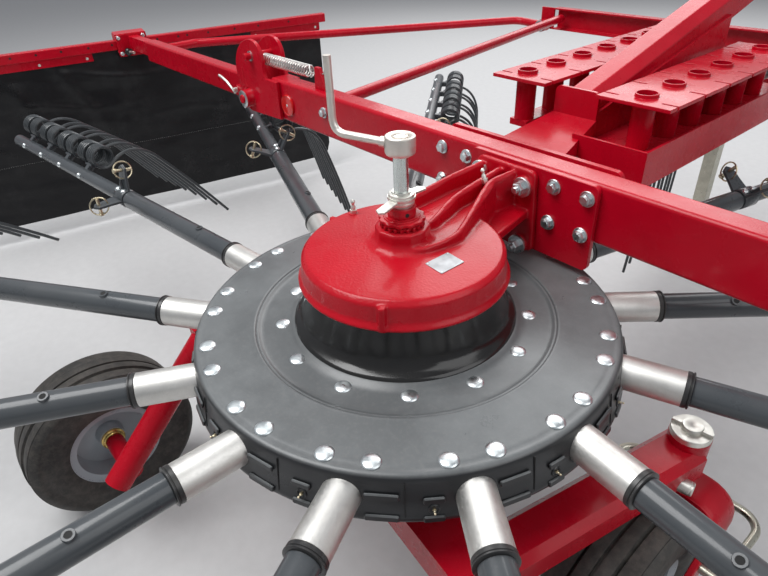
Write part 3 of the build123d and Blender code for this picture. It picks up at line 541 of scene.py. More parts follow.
class Form:
    """Closed surfaces gathered in the row frame, in metres, for one piece."""

    def __init__(self) -> None:
        """Starts with nothing."""
        self.points: list[Vector] = []
        self.faces: list[tuple[int, ...]] = []

    def skin(self, rings: list[list[Vector]], loop: bool = False, capped: bool = True) -> None:
        """Skins a row of rings; a ring of one point is a pole.

        Args:
            rings: Rings of equal length, counterclockwise as seen from the far end.
            loop: Whether the last ring joins the first.
            capped: Whether the ends are closed.
        """
        starts = []
        for ring in rings:
            starts.append(len(self.points))
            self.points.extend(ring)
        count = len(rings)
        for k in range(count if loop else count - 1):
            a, b = starts[k], starts[(k + 1) % count]
            low, high = len(rings[k]), len(rings[(k + 1) % count])
            for n in range(max(low, high)):
                m = (n + 1) % max(low, high)
                if low == 1:
                    self.faces.append((a, b + m, b + n))
                elif high == 1:
                    self.faces.append((a + n, a + m, b))
                else:
                    self.faces.append((a + n, a + m, b + m, b + n))
        if capped and not loop:
            if len(rings[0]) > 1:
                self.faces.append(tuple(starts[0] + n for n in reversed(range(len(rings[0])))))
            if len(rings[-1]) > 1:
                self.faces.append(tuple(starts[-1] + n for n in range(len(rings[-1]))))

    def lathe(self, place: Matrix, profile: Outline, sides: int = 32, loop: bool = False) -> None:
        """Turns a profile about local Z.

        Args:
            place: Where the turned form stands.
            profile: Radius and height of each point, from the bottom up the outside.
            sides: Sides of the form.
            loop: Whether the profile is a closed loop.
        """
        rings = []
        for radius, height in profile:
            flat = [(0.0, 0.0)] if radius < 1e-7 else circle(radius, sides)
            rings.append([place @ Vector((x, y, height)) for x, y in flat])
        self.skin(rings, loop)

    def rod(self, start: Vector, end: Vector, radius: float, sides: int = 20, edge: float = 0.0006) -> None:
        """Round bar with softened ends.

        Args:
            start: Middle of one end.
            end: Middle of the other end.
            radius: Its radius.
            sides: Sides of the bar.
            edge: Size of the softened edge.
        """
        length = (end - start).length
        place = Matrix.Translation(start) @ turn_to(end - start)
        profile = [(0.0, 0.0), (radius - edge, 0.0), (radius, edge), (radius, length - edge)]
        self.lathe(place, [*profile, (radius - edge, length), (0.0, length)], sides)

    def sweep(self, path: list[Vector], radius: float, sides: int = 10, taper: float = 1.0) -> None:
        """Round wire along a path.

        Args:
            path: Points of the middle line.
            radius: Radius of the wire.
            sides: Sides of the wire.
            taper: Radius at the end as a share of that at the start.
        """
        tangents = []
        for n in range(len(path)):
            step = path[min(n + 1, len(path) - 1)] - path[max(n - 1, 0)]
            tangents.append(step.normalized())
        normal = tangents[0].orthogonal().normalized()
        rings = []
        for n, tangent in enumerate(tangents):
            normal = (normal - tangent * normal.dot(tangent)).normalized()
            side = tangent.cross(normal)
            size = radius * (1.0 + (taper - 1.0) * n / (len(path) - 1))
            rings.append([path[n] + normal * x * size + side * y * size for x, y in circle(1.0, sides)])
        self.skin(rings)

    def prism(self, outline: Outline, place: Matrix, depth: float, edge: float = 0.0) -> None:
        """Plate of a given outline, standing on local Z = 0, with softened edges.

        Args:
            outline: Local X and Y, counterclockwise.
            place: Where the plate stands.
            depth: Its thickness.
            edge: Size of the softened edge.
        """
        flat = [Vector(p) for p in outline]
        inner = []
        for n, point in enumerate(flat):
            before = (point - flat[n - 1]).normalized()
            after = (flat[(n + 1) % len(flat)] - point).normalized()
            out = Vector((before.y + after.y, -before.x - after.x))
            out = out.normalized() if out.length > 1e-9 else Vector((before.y, -before.x))
            inner.append(point - out * edge)
        levels = [(flat, 0.0), (flat, depth)]
        if edge:
            levels = [(inner, 0.0), (flat, edge), (flat, depth - edge), (inner, depth)]
        self.skin([[place @ Vector((p.x, p.y, z)) for p in ring] for ring, z in levels])

    def box(self, low: Vector, high: Vector, edge: float = 0.001) -> None:
        """Upright box with softened edges, given by its corners.

        Args:
            low: Lowest corner.
            high: Highest corner.
            edge: Size of the softened edge.
        """
        size, middle = high - low, (low + high) / 2
        x, y = size.x / 2, size.y / 2
        self.prism([(x, y), (-x, y), (-x, -y), (x, -y)], shift(middle.x, middle.y, low.z), size.z, edge)

    def join(self, other: Form, place: Matrix) -> None:
        """Adds a copy of another form.

        Args:
            other: The form to copy.
            place: Where the copy goes.
        """
        base = len(self.points)
        self.points.extend(place @ point for point in other.points)
        self.faces.extend(tuple(base + n for n in face) for face in other.faces)

    def mesh(self, name: str, angle: float = 38.0) -> bpy.types.Mesh:
        """Makes the mesh, with outward faces and smooth shading up to an angle.

        Args:
            name: Name of the mesh.
            angle: Steepest edge in degrees that is shaded smooth.

        Returns:
            The mesh.
        """
        mesh = bpy.data.meshes.new(name)
        mesh.from_pydata([tuple(p) for p in self.points], [], self.faces)
        work = bmesh.new()
        work.from_mesh(mesh)
        bmesh.ops.recalc_face_normals(work, faces=work.faces)
        smooth_by_angle(work, angle)
        work.to_mesh(mesh)
        work.free()
        return mesh

    def finish(self, name: str, look: Look, body: Body, angle: float = 38.0) -> Obj:
        """Makes the finished piece and sets it on its body."""
        return settle(link_new(name, self.mesh(name, angle)), look, body)


def smooth_by_angle(work: bmesh.types.BMesh, angle: float) -> None:
    """Shades faces smooth and keeps edges steeper than an angle sharp.

    Args:
        work: Mesh to mark.
        angle: The angle in degrees.
    """
    limit = math.radians(angle)
    for face in work.faces:
        face.smooth = True
    for edge in work.edges:
        edge.smooth = len(edge.link_faces) == 2 and edge.calc_face_angle(0.0) < limit


def settle(obj: Obj, look: Look, body: Body) -> Obj:
    """Dresses a linked piece and sets it on its body.

    Args:
        obj: The piece.
        look: Its finish.
        body: The body it rides on.

    Returns:
        The same piece.
    """
    dress(obj, look)
    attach(obj, body.value)
    faces = sum(len(p.vertices) - 2 for p in obj.data.polygons)
    LOG.info("%s: %d triangles on %s", obj.name, faces, body.value)
    return obj


def as_plain_mesh(obj: Obj) -> None:
    """Turns an object with modifiers into its evaluated mesh.

    Args:
        obj: Object to freeze.
    """
    graph = bpy.context.evaluated_depsgraph_get()
    mesh = bpy.data.meshes.new_from_object(obj.evaluated_get(graph), depsgraph=graph)
    obj.modifiers.clear()
    obj.data = mesh


# Repeated and wound shapes


class ShapeTree:
    """Geometry Nodes tree with named inputs that ends in real geometry with a finish."""

    def __init__(self, name: str, inputs: dict[str, str]) -> None:
        """Starts the tree.

        Args:
            name: Name of the finished piece.
            inputs: Blender's socket type for each input's label.
        """
        self.tree = bpy.data.node_groups.new(name + "_tree", "GeometryNodeTree")
        self.sockets = {}
        for label, kind in {**inputs, "Finish": "NodeSocketMaterial"}.items():
            socket = self.tree.interface.new_socket(label, in_out="INPUT", socket_type=kind)
            self.sockets[label] = socket.identifier
        self.tree.interface.new_socket("Pieces", in_out="OUTPUT", socket_type="NodeSocketGeometry")
        self.given = self.add("NodeGroupInput").outputs

    def add(self, kind: str, **values: object) -> bpy.types.Node:
        """Adds a node and sets inputs of it by their names.

        Args:
            kind: Blender's name of the node type.
            **values: Value of each named input.

        Returns:
            The new node.
        """
        node = self.tree.nodes.new(kind)
        for label, value in values.items():
            node.inputs[label].default_value = value
        return node

    def link(self, source: Socket, target: Socket) -> None:
        """Joins two sockets."""
        self.tree.links.new(source, target)

    def close(self, shape: Socket) -> None:
        """Makes a shape real, gives it the finish and leads it out."""
        real, finish = self.add("GeometryNodeRealizeInstances"), self.add("GeometryNodeSetMaterial")
        self.link(shape, real.inputs[0])
        self.link(real.outputs[0], finish.inputs["Geometry"])
        self.link(self.given["Finish"], finish.inputs["Material"])
        self.link(finish.outputs[0], self.add("NodeGroupOutput").inputs[0])

    def freeze(self, obj: Obj, values: dict[str, object], look: Look, body: Body) -> Obj:
        """Runs the tree on an object, keeps the result as a plain mesh and settles it.

        Args:
            obj: The object.
            values: Value of each input but the finish.
            look: Its finish.
            body: The body it rides on.

        Returns:
            The piece.
        """
        modifier = obj.modifiers.new("tree", "NODES")
        modifier.node_group = self.tree
        for label, value in values.items():
            modifier[self.sockets[label]] = value
        modifier[self.sockets["Finish"]] = material_of(look)
        as_plain_mesh(obj)
        return settle(obj, look, body)


def spread(name: str, shape: Form, look: Look, body: Body, places: list[Matrix], size: float = 1.0) -> Obj:
    """Sets one small shape on many places with Geometry Nodes.

    Args:
        name: Name of the finished piece.
        shape: The shape, about its own origin.
        look: Its finish.
        body: The body it rides on.
        places: Where the copies go, in the row frame.
        size: Scale of every copy.

    Returns:
        The piece.
    """
    model = bpy.data.objects.new(name + "_shape", shape.mesh(name + "_shape"))
    mesh = bpy.data.meshes.new(name)
    mesh.from_pydata([tuple(place.translation) for place in places], [], [])
    turns = mesh.attributes.new("turn", "FLOAT_VECTOR", "POINT")
    for n, place in enumerate(places):
        turns.data[n].vector = place.to_euler("XYZ")
    inputs = {"Points": "NodeSocketGeometry", "Shape": "NodeSocketObject", "Size": "NodeSocketFloat"}
    tree = ShapeTree(name, inputs)
    info, points = tree.add("GeometryNodeObjectInfo"), tree.add("GeometryNodeInstanceOnPoints")
    turn = tree.add("GeometryNodeInputNamedAttribute", Name="turn")
    turn.data_type = "FLOAT_VECTOR"
    euler = tree.add("FunctionNodeEulerToRotation")
    tree.link(tree.given["Shape"], info.inputs["Object"])
    tree.link(tree.given["Points"], points.inputs["Points"])
    tree.link(info.outputs["Geometry"], points.inputs["Instance"])
    tree.link(turn.outputs["Attribute"], euler.inputs[0])
    tree.link(euler.outputs[0], points.inputs["Rotation"])
    tree.link(tree.given["Size"], points.inputs["Scale"])
    tree.close(points.outputs[0])
    piece = tree.freeze(link_new(name, mesh), {"Shape": model, "Size": size}, look, body)
    bpy.data.objects.remove(model)
    return piece


def wind_coil(name: str, sizes: dict[str, float], place: Matrix, look: Look, body: Body) -> Obj:
    """Winds a wire into a coil spring along local Z with Geometry Nodes.

    Args:
        name: Name of the finished piece.
        sizes: Number of turns, radius of the middle line, length, and radius of the wire.
        place: Where the coil starts and how it lies.
        look: Its finish.
        body: The body it rides on.

    Returns:
        The piece.
    """
    tree = ShapeTree(name, dict.fromkeys(sizes, "NodeSocketFloat"))
    spiral = tree.add("GeometryNodeCurveSpiral", Resolution=24)
    section = tree.add("GeometryNodeCurvePrimitiveCircle", Resolution=10)
    skin = tree.add("GeometryNodeCurveToMesh")
    skin.inputs["Fill Caps"].default_value = True
    smooth = tree.add("GeometryNodeSetShadeSmooth")
    for label, socket in (
        ("Turns", spiral.inputs["Rotations"]),
        ("Radius", spiral.inputs["Start Radius"]),
        ("Radius", spiral.inputs["End Radius"]),
        ("Length", spiral.inputs["Height"]),
        ("Wire", section.inputs["Radius"]),
    ):
        tree.link(tree.given[label], socket)
    tree.link(spiral.outputs[0], skin.inputs["Curve"])
    tree.link(section.outputs[0], skin.inputs["Profile Curve"])
    tree.link(skin.outputs[0], smooth.inputs[0])
    tree.close(smooth.outputs[0])
    piece = tree.freeze(link_new(name, bpy.data.meshes.new(name)), sizes, look, body)
    piece.data.transform(place)
    return piece


# Shared places


@dataclass(frozen=True)
class Plan:
    """Sizes that several sub-assemblies share, in metres, with Z up from the ground."""

    axis: Vector
    disc_top: float = 0.685
    arm_z: float = 0.643
    arm_count: int = 13
    arm_first: float = 187.1
    arm_offset: float = 0.047
    stub_end: float = 0.482
    tilts: tuple[float, ...] = (40.0, 52.0, 55.0, 55.0, 50.0, 35.0, 15.0, 0.0, 0.0, 0.0, 0.0, 0.0, 18.0)
    frame_x: float = -0.077
    face_y: float = 0.323
    beam_y: float = 0.335
    beam_middle_y: float = 0.365
    flange_nuts: tuple[Pair, ...] = ((0.014, 0.152), (-0.098, 0.157), (0.014, 0.024))
    hinge_x: float = -1.105
    hinge_z: float = 0.113
    king: Pair = (0.45, 0.27)
    trail: float = 0.147
    rear: Pair = (0.631, -0.476)
    axle_z: float = 0.205

    def at(self, x: float, y: float, z: float) -> Vector:
        """Point of the machine in the row frame, with its height above the disc's top."""
        return self.axis + Vector((x, y, self.disc_top + z))

    def ground(self, x: float, y: float, z: float) -> Vector:
        """Point of the machine in the row frame, with its height above the ground."""
        return self.axis + Vector((x, y, z))

    def azimuth(self, index: float) -> float:
        """Direction of an arm in radians."""
        return math.radians(self.arm_first + 360.0 / self.arm_count * index)

    def arm(self, index: int, tilted: bool = True) -> Matrix:
        """Place of one arm: local X runs outwards and local Y to its leading side.

        Args:
            index: Number of the arm.
            tilted: Whether the cam's tilt is in it.

        Returns:
            The arm's place in the row frame.
        """
        tilt = -math.radians(self.tilts[index]) if tilted else 0.0
        turn = Matrix.Rotation(self.azimuth(index), 4, "Z")
        place = Matrix.Translation(self.ground(0.0, 0.0, self.arm_z)) @ turn
        return place @ shift(0.0, self.arm_offset, 0.0) @ Matrix.Rotation(tilt, 4, "X")

    def round_place(self, radius: float, degrees: float, z: float) -> Matrix:
        """Place at a radius and azimuth about the rotor's axis, local X pointing outwards."""
        angle = math.radians(degrees)
        spot = self.at(radius * math.cos(angle), radius * math.sin(angle), z)
        return Matrix.Translation(spot) @ Matrix.Rotation(angle, 4, "Z")


@dataclass
class Assembly:
    """Sub-assembly that knows the shared sizes."""

    plan: Plan

    def at(self, x: float, y: float, z: float) -> Vector:
        """Point of the machine, with its height above the disc's top."""
        return self.plan.at(x, y, z)

    def mark(self, x: float, y: float, z: float) -> Matrix:
        """Unturned place at such a point."""
        return Matrix.Translation(self.plan.at(x, y, z))


X_OUT = spin(90.0, "Y")
TO_REAR = spin(90.0, "X")


# Small hardware


def dome_bolt(radius: float, height: float) -> Form:
    """Round-headed bolt with a small rim, standing on local Z = 0.

    Args:
        radius: Radius of the head.
        height: Height of the dome.

    Returns:
        The head.
    """
    form = Form()
    profile = [(0.0, -0.002), (radius, -0.002), (radius, height * 0.12)]
    for n in range(1, 7):
        angle = math.pi / 2 * n / 6
        profile.append((radius * 0.97 * math.cos(angle), height * (0.14 + 0.86 * math.sin(angle))))
    profile[-1] = (0.0, height)
    form.lathe(Matrix(), profile, 24)
    return form


def hex_bolt(flats: float, height: float, washer: float, stud: float = 0.0) -> Form:
    """Hexagon head or nut on a washer, standing on local Z = 0.

    Args:
        flats: Width across the flats.
        height: Height of the hexagon.
        washer: Radius of the washer.
        stud: Length of a stud beyond the top, or 0.

    Returns:
        The bolt.
    """
    form = Form()
    ring = [(0.0, -0.002), (washer, -0.002), (washer, 0.0024), (washer - 0.0006, 0.003), (0.0, 0.003)]
    form.lathe(Matrix(), ring, 28)
    corner = flats / 2 / math.cos(math.pi / 6)
    rings = []
    for size, level in ((corner, 0.003), (corner, 0.003 + height * 0.86), (flats / 2 * 0.97, 0.003 + height)):
        rings.append([Vector((x, y, level)) for x, y in circle(size, 6)])
    form.skin(rings)
    top = 0.003 + height
    if stud:
        form.rod(Vector((0, 0, top - 0.002)), Vector((0, 0, top + stud)), flats * 0.31, 18, 0.0012)
    else:
        crown = [(0.0, -0.001), (flats * 0.4, -0.001), (flats * 0.36, 0.0008), (0.0, 0.001)]
        form.lathe(shift(0, 0, top), crown, 20)
    return form


def grease_nipple() -> Form:
    """Grease nipple, standing on local Z = 0, about 22 mm high."""
    form = Form()
    form.skin([[Vector((x, y, z)) for x, y in circle(0.0055, 6)] for z in (-0.002, 0.006)])
    profile = mm(
        (0, 5), (3.8, 5), (3.8, 11), (2.4, 13), (2.4, 16), (3.6, 18), (3.2, 20.5), (1.2, 22.5), (0, 22.5)
    )
    form.lathe(Matrix(), profile, 14)
    return form


# Rotor


@dataclass
class Rotor(Assembly):
    """Disc skin, rim segments, bolts and clamp rings."""

    sides: int = 208
    outer_r: float = 0.36
    inner_r: float = 0.2257
    outer_first: float = 194.6
    inner_first: float = 209.24
    half_spread: float = 5.41
    rim_r: float = 0.3945
    crown_r: float = 0.3865
    bar_share: float = 0.31

    def build(self) -> None:
        """Makes every piece of the rotor's disc."""
        self._skin()
        self._neck()
        self._bolts()
        self._segments()
        self._rings()

    def _skin(self) -> None:
        """Makes the moulded disc with its steps and its rounded rim."""
        profile = mm(
            (392, -80), (396, -79.5), (397, -76), (396.5, -71), (394.5, -68), (390.5, -40), (386, -12),
            (384.5, -6.5), (381.5, -2.5), (377, -0.6), (373, -1), (370, -1.6), (366, -0.6), (360, 0),
            (284, 0), (280.5, 1), (278, 1.2), (276, 0.2), (274.5, -1.2), (272.5, -0.8), (270.5, -1.6),
            (268, -3.6), (264, -4.8), (258, -5), (224, -4.8), (217, -3.5), (211, -1), (206, 2),
            (203, 2.4), (200, -2), (197, -11), (374, -11), (386, -60),
        )
        form = Form()
        form.lathe(self.mark(0, 0, 0), profile, self.sides, loop=True)
        piece = form.finish("disc_skin", Look.DISC, Body.ROTOR, 50.0)
        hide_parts("rotor_disc")

    def _neck(self) -> None:
        """Makes the glossy rubber neck that flares from under the cover."""
        profile = mm(
            (201.5, -4), (204.5, 0), (203.5, 4), (199, 7.5), (192, 11), (187, 16.5), (183, 24.5),
            (179, 35), (175, 50), (171, 66), (168, 78), (163, 78), (172, 40), (182, 14), (195, -4),
        )
        form = Form()
        form.lathe(self.mark(0, 0, 0), profile, self.sides, loop=True)
        form.finish("disc_neck", Look.NECK, Body.ROTOR, 60.0)

    def _bolts(self) -> None:
        """Sets the ring of bolt pairs and the ring of inner bolts."""
        outer, inner = [], []
        step = 360.0 / self.plan.arm_count
        for k in range(self.plan.arm_count):
            for side in (-1, 1):
                degrees = self.outer_first + step * k + side * self.half_spread
                outer.append(self.plan.round_place(self.outer_r, degrees, 0.0))
            inner.append(self.plan.round_place(self.inner_r, self.inner_first + step * k, -0.005))
        spread("disc_bolts_outer", dome_bolt(0.0146, 0.0042), Look.ZINC, Body.ROTOR, outer)
        spread("disc_bolts_inner", dome_bolt(0.0142, 0.0042), Look.ZINC, Body.ROTOR, inner)

    def _segments(self) -> None:
        """Sets the rim's raised bars, the seams as thin dark strips of painted shade, and plated nipples."""
        long_bar, short_bar, seam, recess = Form(), Form(), Form(), Form()
        long_bar.prism(rounded(0.05, 0.0105, 0.0035), TO_REAR, 0.0048, 0.0015)
        short_bar.prism(rounded(0.031, 0.0105, 0.0035), TO_REAR, 0.0048, 0.0015)
        seam.box(Vector((-0.0007, -0.0012, -0.03)), Vector((0.0007, 0.0004, 0.031)), 0.0)
        lip = mm((6.2, -1), (8.5, -1), (8.5, 1.2), (7.6, 2), (6.2, 1.2))
        recess.lathe(TO_REAR, lip, 20, True)
        step = 360.0 / self.plan.arm_count
        beside = math.degrees(math.atan2(self.plan.arm_offset, self.rim_r))
        arms = [math.degrees(self.plan.azimuth(k)) + beside for k in range(self.plan.arm_count)]
        after, before = ([arm + side * self.bar_share * step for arm in arms] for side in (1, -1))
        bars = [self._rim(degrees, z) for degrees in after for z in (-0.033, -0.0715)]
        shorts = [self._rim(degrees, z) for degrees in before for z in (-0.04, -0.074)]
        seams = [self._rim(arm + 0.48 * step, -0.041, 0.0002) for arm in arms]
        spots = [self._rim(degrees, -0.057) for degrees in before]
        spread("rim_bars", long_bar, Look.DISC, Body.ROTOR, bars)
        spread("rim_short_bars", short_bar, Look.DISC, Body.ROTOR, shorts)
        # Thin dark strips of painted shade where the segments meet
        spread("rim_seams", seam, Look.PAINTED_SHADE, Body.ROTOR, seams)
        spread("rim_rings", recess, Look.DISC, Body.ROTOR, spots)
        upright = [spot @ TO_REAR for spot in spots]
        spread("rim_nipples", grease_nipple(), Look.YELLOW_ZINC, Body.ROTOR, upright, 0.5)

    def _rim(self, degrees: float, z: float, proud: float = 0.0) -> Matrix:
        """Place on the leaning wall of the rim with local Y pointing inwards.

        Args:
            degrees: Azimuth.
            z: Height above the disc's top.
            proud: Distance beyond the wall.

        Returns:
            The place.
        """
        radius = self.crown_r + (self.rim_r - self.crown_r) * min(1.0, (-0.012 - z) / 0.056) + proud
        return self.plan.round_place(radius, degrees, z) @ spin(90.0, "Z") @ spin(-7.5, "X")

    def _rings(self) -> None:
        """Makes the two-step clamp ring at the end of every bearing tube."""
        profile = mm(
            (20, 0), (29.2, 0), (30.4, 1.2), (30.4, 6.8), (29.2, 7.8),
            (29.2, 8.6), (31, 9.4), (31, 11.2), (29.8, 12), (20, 12),
        )
        form = Form()
        for k in range(self.plan.arm_count):
            place = self.plan.arm(k, False) @ shift(self.plan.stub_end, 0, 0) @ X_OUT
            form.lathe(place, profile, 40, loop=True)
        piece = form.finish("clamp_rings", Look.COLLAR, Body.ROTOR)
        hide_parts("arm_collars")


@dataclass
class Arms(Assembly):
    """Tine arms with their tubes, carriers, latch ears, bolts and double spring tines."""

    tube_r: float = 0.025
    tube_start: float = 0.494
    tube_end: float = 0.985
    carrier_r: float = 0.02
    carrier_end: float = 1.804
    bush_at: float = 0.625
    bush_turn: float = 40.0
    ear_at: float = 0.027
    ear_turn: float = 50.0
    tine_first: float = 1.236
    tine_step: float = 0.073
    pairs: int = 4
    coil_y: float = -0.0726
    coil_z: float = 0.0076
    coil_r: float = 0.031
    wire_r: float = 0.005
    coil_turns: float = 4.25

    def build(self) -> None:
        """Makes every piece of the arms."""
        self._tubes()
        self._hardware()
        self._tines()

    def _pair_places(self) -> list[float]:
        """Distance of each double tine along the arm."""
        return [self.tine_first + (2 * n + 0.5) * self.tine_step for n in range(self.pairs)]

    def _tubes(self) -> None:
        """Makes one arm and copies it to every place."""
        arm = Form()
        r, s, e = self.tube_r, self.tube_start, self.tube_end
        tube = [
            (0.0, s), (r - 0.001, s), (r, s + 0.001), (r, e - 0.012),
            (r - 0.002, e - 0.003), (0.0205, e), (0.0, e),
        ]
        arm.lathe(X_OUT, tube, 36)
        c, end = self.carrier_r, self.carrier_end
        arm.lathe(X_OUT, [(0.0, e - 0.01), (c, e - 0.01), (c, end - 0.003), (c - 0.003, end), (0.0, end)], 30)
        # Clamp saddle with its rounded ends
        saddle = [(0.0, e + 0.002), (c + 0.0035, e + 0.002), (c + 0.006, e + 0.005), (c + 0.006, e + 0.049)]
        arm.lathe(X_OUT, [*saddle, (c + 0.0035, e + 0.052), (0.0, e + 0.052)], 32)
        for ear in (-1, 1):
            arm.join(self._ear(ear), Matrix())
        for u in self._pair_places():
            low, high = Vector((u - 0.009, -0.041, -0.009)), Vector((u + 0.009, 0.0, 0.009))
            arm.box(low, high, 0.0015)
            arm.lathe(shift(u, -0.036, 0.004) @ X_OUT, disc(0.0065, -0.02, 0.02), 12)
        # Through bush of the latch pin
        bush = mm((5.5, -29), (8.5, -29), (9, -28.3), (9, 28.3), (8.5, 29), (5.5, 29))
        arm.lathe(shift(self.bush_at, 0, 0) @ spin(self.bush_turn, "X"), bush, 24, loop=True)
        form = Form()
        for k in range(self.plan.arm_count):
            form.join(arm, self.plan.arm(k))
        piece = form.finish("arm_tubes", Look.GREY_TUBE, Body.ROTOR, 42.0)
        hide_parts("tine_arms")

    def _ear(self, side: int) -> Form:
        """Bent ear of the latch bracket.

        Args:
            side: Which of the two ears.

        Returns:
            The ear in the arm's own frame.
        """
        form = Form()
        base = shift(self.tube_end + self.ear_at, 0, 0) @ spin(self.ear_turn * side, "X")
        outline = mm((-26, 18), (26, 18), (20.5, 50), (16.5, 84), (0, 93.5), (-16.5, 84), (-20.5, 50))
        plate = base @ shift(0, 0.0035, 0) @ TO_REAR
        form.prism(outline, plate, 0.007, 0.001)
        rib = mm((-3.5, 22), (3.5, 22), (3.5, 50), (-3.5, 30))
        form.prism(rib, base @ shift(0, 0.012, 0) @ TO_REAR, 0.01, 0.0005)
        return form

    def _hardware(self) -> None:
        """Sets the carrier bolts, the saddle rivets, dark discs of painted shade in the bush's holes, and the
        linchpins.
        """
        bolts, holes, pins = [], [], []
        for k in range(self.plan.arm_count):
            arm = self.plan.arm(k)
            for u in self._pair_places():
                bolts.append(arm @ shift(u, 0, 0) @ spin(-34.0, "X") @ shift(0, 0, self.carrier_r))
            for u in (0.012, 0.042):
                spot = arm @ shift(self.tube_end + u, 0, 0) @ spin(20.0, "X")
                bolts.append(spot @ shift(0, 0, self.carrier_r + 0.0055))
            for side in (0.0, 180.0):
                turn = spin(self.bush_turn + side, "X")
                holes.append(arm @ shift(self.bush_at, 0, 0) @ turn @ shift(0, 0, 0.0282))
            for side in (-1, 1):
                turn = spin(self.ear_turn * side, "X")
                pins.append(arm @ shift(self.tube_end + self.ear_at, 0, 0) @ turn @ shift(0, 0, 0.078))
        # Dark disc of painted shade for each hole of the bush
        hole = Form()
        hole.lathe(Matrix(), disc(0.0054, 0.0, 0.0004), 16)
        spread("carrier_bolts", dome_bolt(0.0085, 0.0055), Look.ZINC, Body.ROTOR, bolts)
        spread("bush_holes", hole, Look.PAINTED_SHADE, Body.ROTOR, holes)
        spread("linchpins", self._linchpin(), Look.YELLOW_ZINC, Body.ROTOR, pins)

    def _linchpin(self) -> Form:
        """Linchpin along local Y with its sprung ring, about its own hole."""
        form = Form()
        form.rod(Vector((0, -0.024, 0)), Vector((0, 0.025, 0)), 0.0046, 14)
        form.rod(Vector((0, 0.02, 0)), Vector((0, 0.027, 0)), 0.0072, 16)
        lean = spin(12.0, "Y")
        ring = []
        for n in range(41):
            angle = math.radians(8.0 + 344.0 * n / 40)
            across, up = math.cos(angle), math.sin(angle)
            ring.append(lean @ Vector((0.003 * up, 0.0255 * across, 0.0235 * up)))
        form.sweep(ring, 0.0021, 8)
        return form

    def _tine_path(self, side: int) -> list[Vector]:
        """Middle line of one half of a double tine, from the clamp to the tip.

        Args:
            side: -1 for the inner half and 1 for the outer half.

        Returns:
            Points in the arm's own frame, about the clamp.
        """
        path = [Vector((side * 0.003, self.coil_y + self.coil_r * 0.6, self.coil_z))]
        steps = int(20 * self.coil_turns)
        for n in range(steps + 1):
            angle = -math.tau * self.coil_turns * n / steps
            u = side * (0.0055 + 0.0465 * n / steps)
            y, z = self.coil_y + self.coil_r * math.cos(angle), self.coil_z + self.coil_r * math.sin(angle)
            path.append(Vector((u, y, z)))
        start = path[-1]
        knee = Vector((side * 0.042, -0.172, -0.15))
        tip = Vector((side * self.tine_step / 2, -0.161, -0.4985))
        leave, reach = start + Vector((0, -0.06, 0)), knee + Vector((0, 0.0, 0.075))
        for n in range(1, 13):
            t = n / 12
            first, second = leave * 3 * t * (1 - t) ** 2, reach * 3 * t * t * (1 - t)
            path.append(start * (1 - t) ** 3 + first + second + knee * t**3)
        middle = Vector(((knee.x + tip.x) / 2, -0.174, -0.32))
        return path + curve(knee, middle, tip, 8)[1:]

    def _tines(self) -> None:
        """Winds one double tine and sets it on every clamp."""
        shape = Form()
        for side in (-1, 1):
            shape.sweep(self._tine_path(side), self.wire_r, 7)
        arms = [self.plan.arm(k) for k in range(self.plan.arm_count)]
        places = [arm @ shift(u, 0, 0) for arm in arms for u in self._pair_places()]
        piece = spread("spring_tines", shape, Look.TINE, Body.ROTOR, places)
        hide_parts("tines")


# Gearbox cover and spindle


